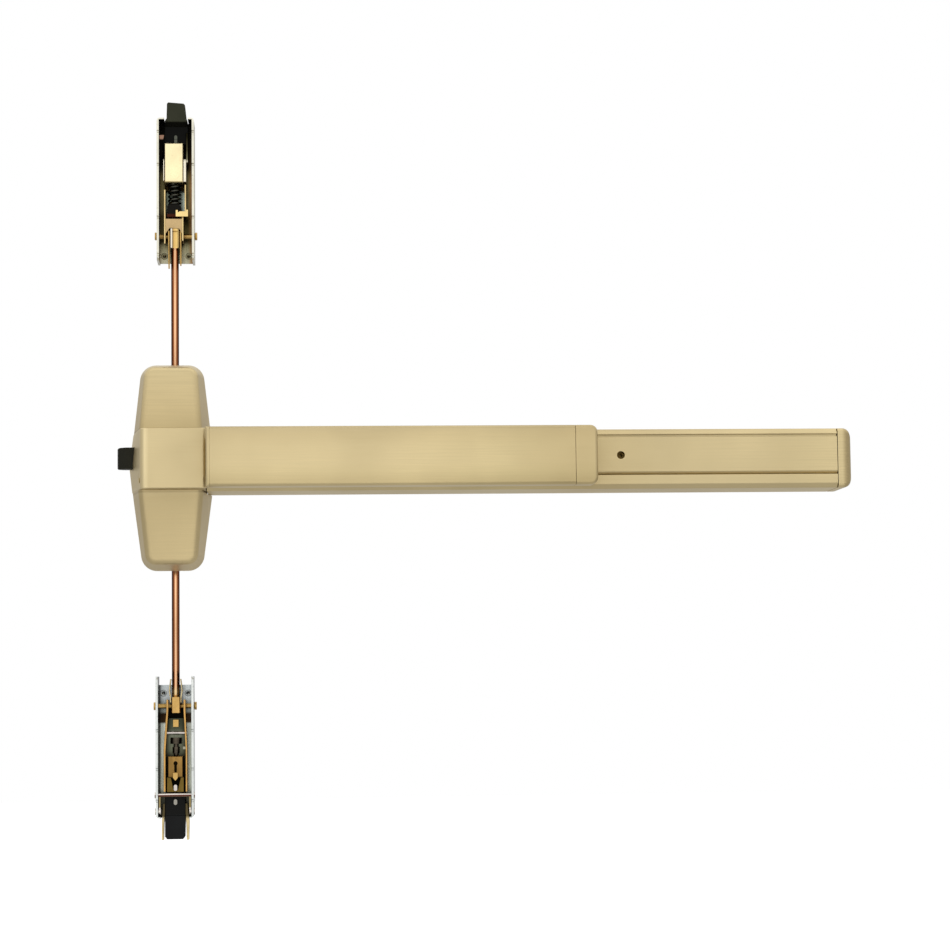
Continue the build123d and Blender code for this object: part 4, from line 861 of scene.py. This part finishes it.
# the studio as the metal sees it: a white sweep, with darker flags at both sides and behind, at eye level
FLAG_SHADE = 0.4
DIFFUSE_STRENGTH = 0.7
look_x, look_y, look_z = studio.split(studio.add("ShaderNodeTexCoord").outputs["Generated"])
sideways = studio.ramp(studio.math("ABSOLUTE", look_x, 0.0), 0.5, 0.9, soft=True)
behind = studio.ramp(look_y, -0.15, 0.3, soft=True)
level_band = studio.ramp(studio.math("ABSOLUTE", look_z, 0.0), 0.22, 0.45, 1.0, 0.0, soft=True)
flags = studio.math("MULTIPLY", studio.math("MAXIMUM", sideways, behind), level_band)
glossy_strength = studio.math("SUBTRACT", 1.0, studio.math("MULTIPLY", flags, FLAG_SHADE))

path = studio.add("ShaderNodeLightPath").outputs
camera_or_glass = studio.math("MAXIMUM", path["Is Camera Ray"], path["Is Transmission Ray"])
mirrored = studio.math("MULTIPLY", path["Is Glossy Ray"], glossy_strength)
seen_strength = studio.math("ADD", camera_or_glass, mirrored)
diffuse_ray = studio.math("SUBTRACT", 1.0, studio.math("MAXIMUM", camera_or_glass, path["Is Glossy Ray"]))
strength = studio.math("MAXIMUM", seen_strength, studio.math("MULTIPLY", DIFFUSE_STRENGTH, diffuse_ray))
backdrop = studio.add("ShaderNodeBackground")
backdrop.inputs[0].default_value = (1, 1, 1, 1)
studio.link(strength, backdrop.inputs[1])
studio.link(backdrop.outputs[0], studio.add("ShaderNodeOutputWorld").inputs[0])

FLOOR_PLACE, FLOOR_SIZE = (0.2, 0, -1.5), 60
FLOOR_GREY = (0.8, 0.8, 0.8, 1)
FLOOR_GLOW = 0.7
bpy.ops.mesh.primitive_grid_add(x_subdivisions=8, y_subdivisions=8, size=FLOOR_SIZE, location=FLOOR_PLACE)
floor = bpy.context.object
floor.name = "floor"
floor_tree = Tree("floor")
floor_tree.tree.nodes.remove(floor_tree.bsdf)
floor_diffuse = floor_tree.add("ShaderNodeBsdfDiffuse")
floor_diffuse.inputs[0].default_value = FLOOR_GREY
floor_glow = floor_tree.add("ShaderNodeEmission")
floor_seen = floor_tree.add("ShaderNodeLightPath").outputs["Is Camera Ray"]
floor_sum = floor_tree.add("ShaderNodeAddShader")
floor_tree.link(floor_tree.math("MULTIPLY", floor_seen, FLOOR_GLOW), floor_glow.inputs[1])
floor_tree.link(floor_diffuse.outputs[0], floor_sum.inputs[0])
floor_tree.link(floor_glow.outputs[0], floor_sum.inputs[1])
floor_tree.link(floor_sum.outputs[0], floor_tree.out.inputs[0])
floor.data.materials.append(floor_tree.mat)


def softbox(name, place, target, size, energy):
    """A soft lamp: place, target and size in metres, energy in watts."""
    lamp = bpy.data.lights.new(name, "AREA")
    lamp.shape = "RECTANGLE"
    lamp.size, lamp.size_y = size
    lamp.energy = energy
    obj = bpy.data.objects.new(name, lamp)
    scene.collection.objects.link(obj)
    obj.location = place
    obj.rotation_euler = (Vector(target) - Vector(place)).to_track_quat("-Z", "Y").to_euler()
    obj.visible_camera = False


softbox("front", place=(-0.5, -3.2, 0.2), target=(0.2, 0, 0), size=(3.0, 2.6), energy=8)
softbox("low_front", place=(0.1, -2.3, -1.15), target=(0.15, 0, -0.1), size=(3.2, 0.9), energy=5)
softbox("top", place=(0.3, -0.4, 2.2), target=(0.3, -0.05, 0), size=(2.4, 1.0), energy=3)

# fitted to the photograph: place in metres, yaw, pitch and roll in degrees, focal length in pixels
CAMERA_PLACE = Vector((0.110, -2.600, -0.230))
YAW, PITCH, ROLL = (math.radians(a) for a in (4.17285, 4.81174, -0.67340))
FOCAL_PX = 2608.41
IMAGE_PX = 950
SENSOR_MM = 36.0
forward = Vector((math.sin(YAW) * math.cos(PITCH), math.cos(YAW) * math.cos(PITCH), math.sin(PITCH)))
level = Vector((math.cos(YAW), -math.sin(YAW), 0))
rise = level.cross(forward)
right = level * math.cos(ROLL) + rise * math.sin(ROLL)
up = rise * math.cos(ROLL) - level * math.sin(ROLL)
lens = bpy.data.cameras.new("camera")
lens.sensor_fit = "HORIZONTAL"
lens.sensor_width = SENSOR_MM
lens.lens = SENSOR_MM * FOCAL_PX / IMAGE_PX
lens.clip_end = 60
camera = bpy.data.objects.new("camera", lens)
scene.collection.objects.link(camera)
camera.matrix_world = Matrix(
    (
        (right.x, up.x, -forward.x, CAMERA_PLACE.x),
        (right.y, up.y, -forward.y, CAMERA_PLACE.y),
        (right.z, up.z, -forward.z, CAMERA_PLACE.z),
        (0, 0, 0, 1),
    )
)
scene.camera = camera
scene.view_settings.view_transform = "Standard"

bpy.context.view_layer.update()
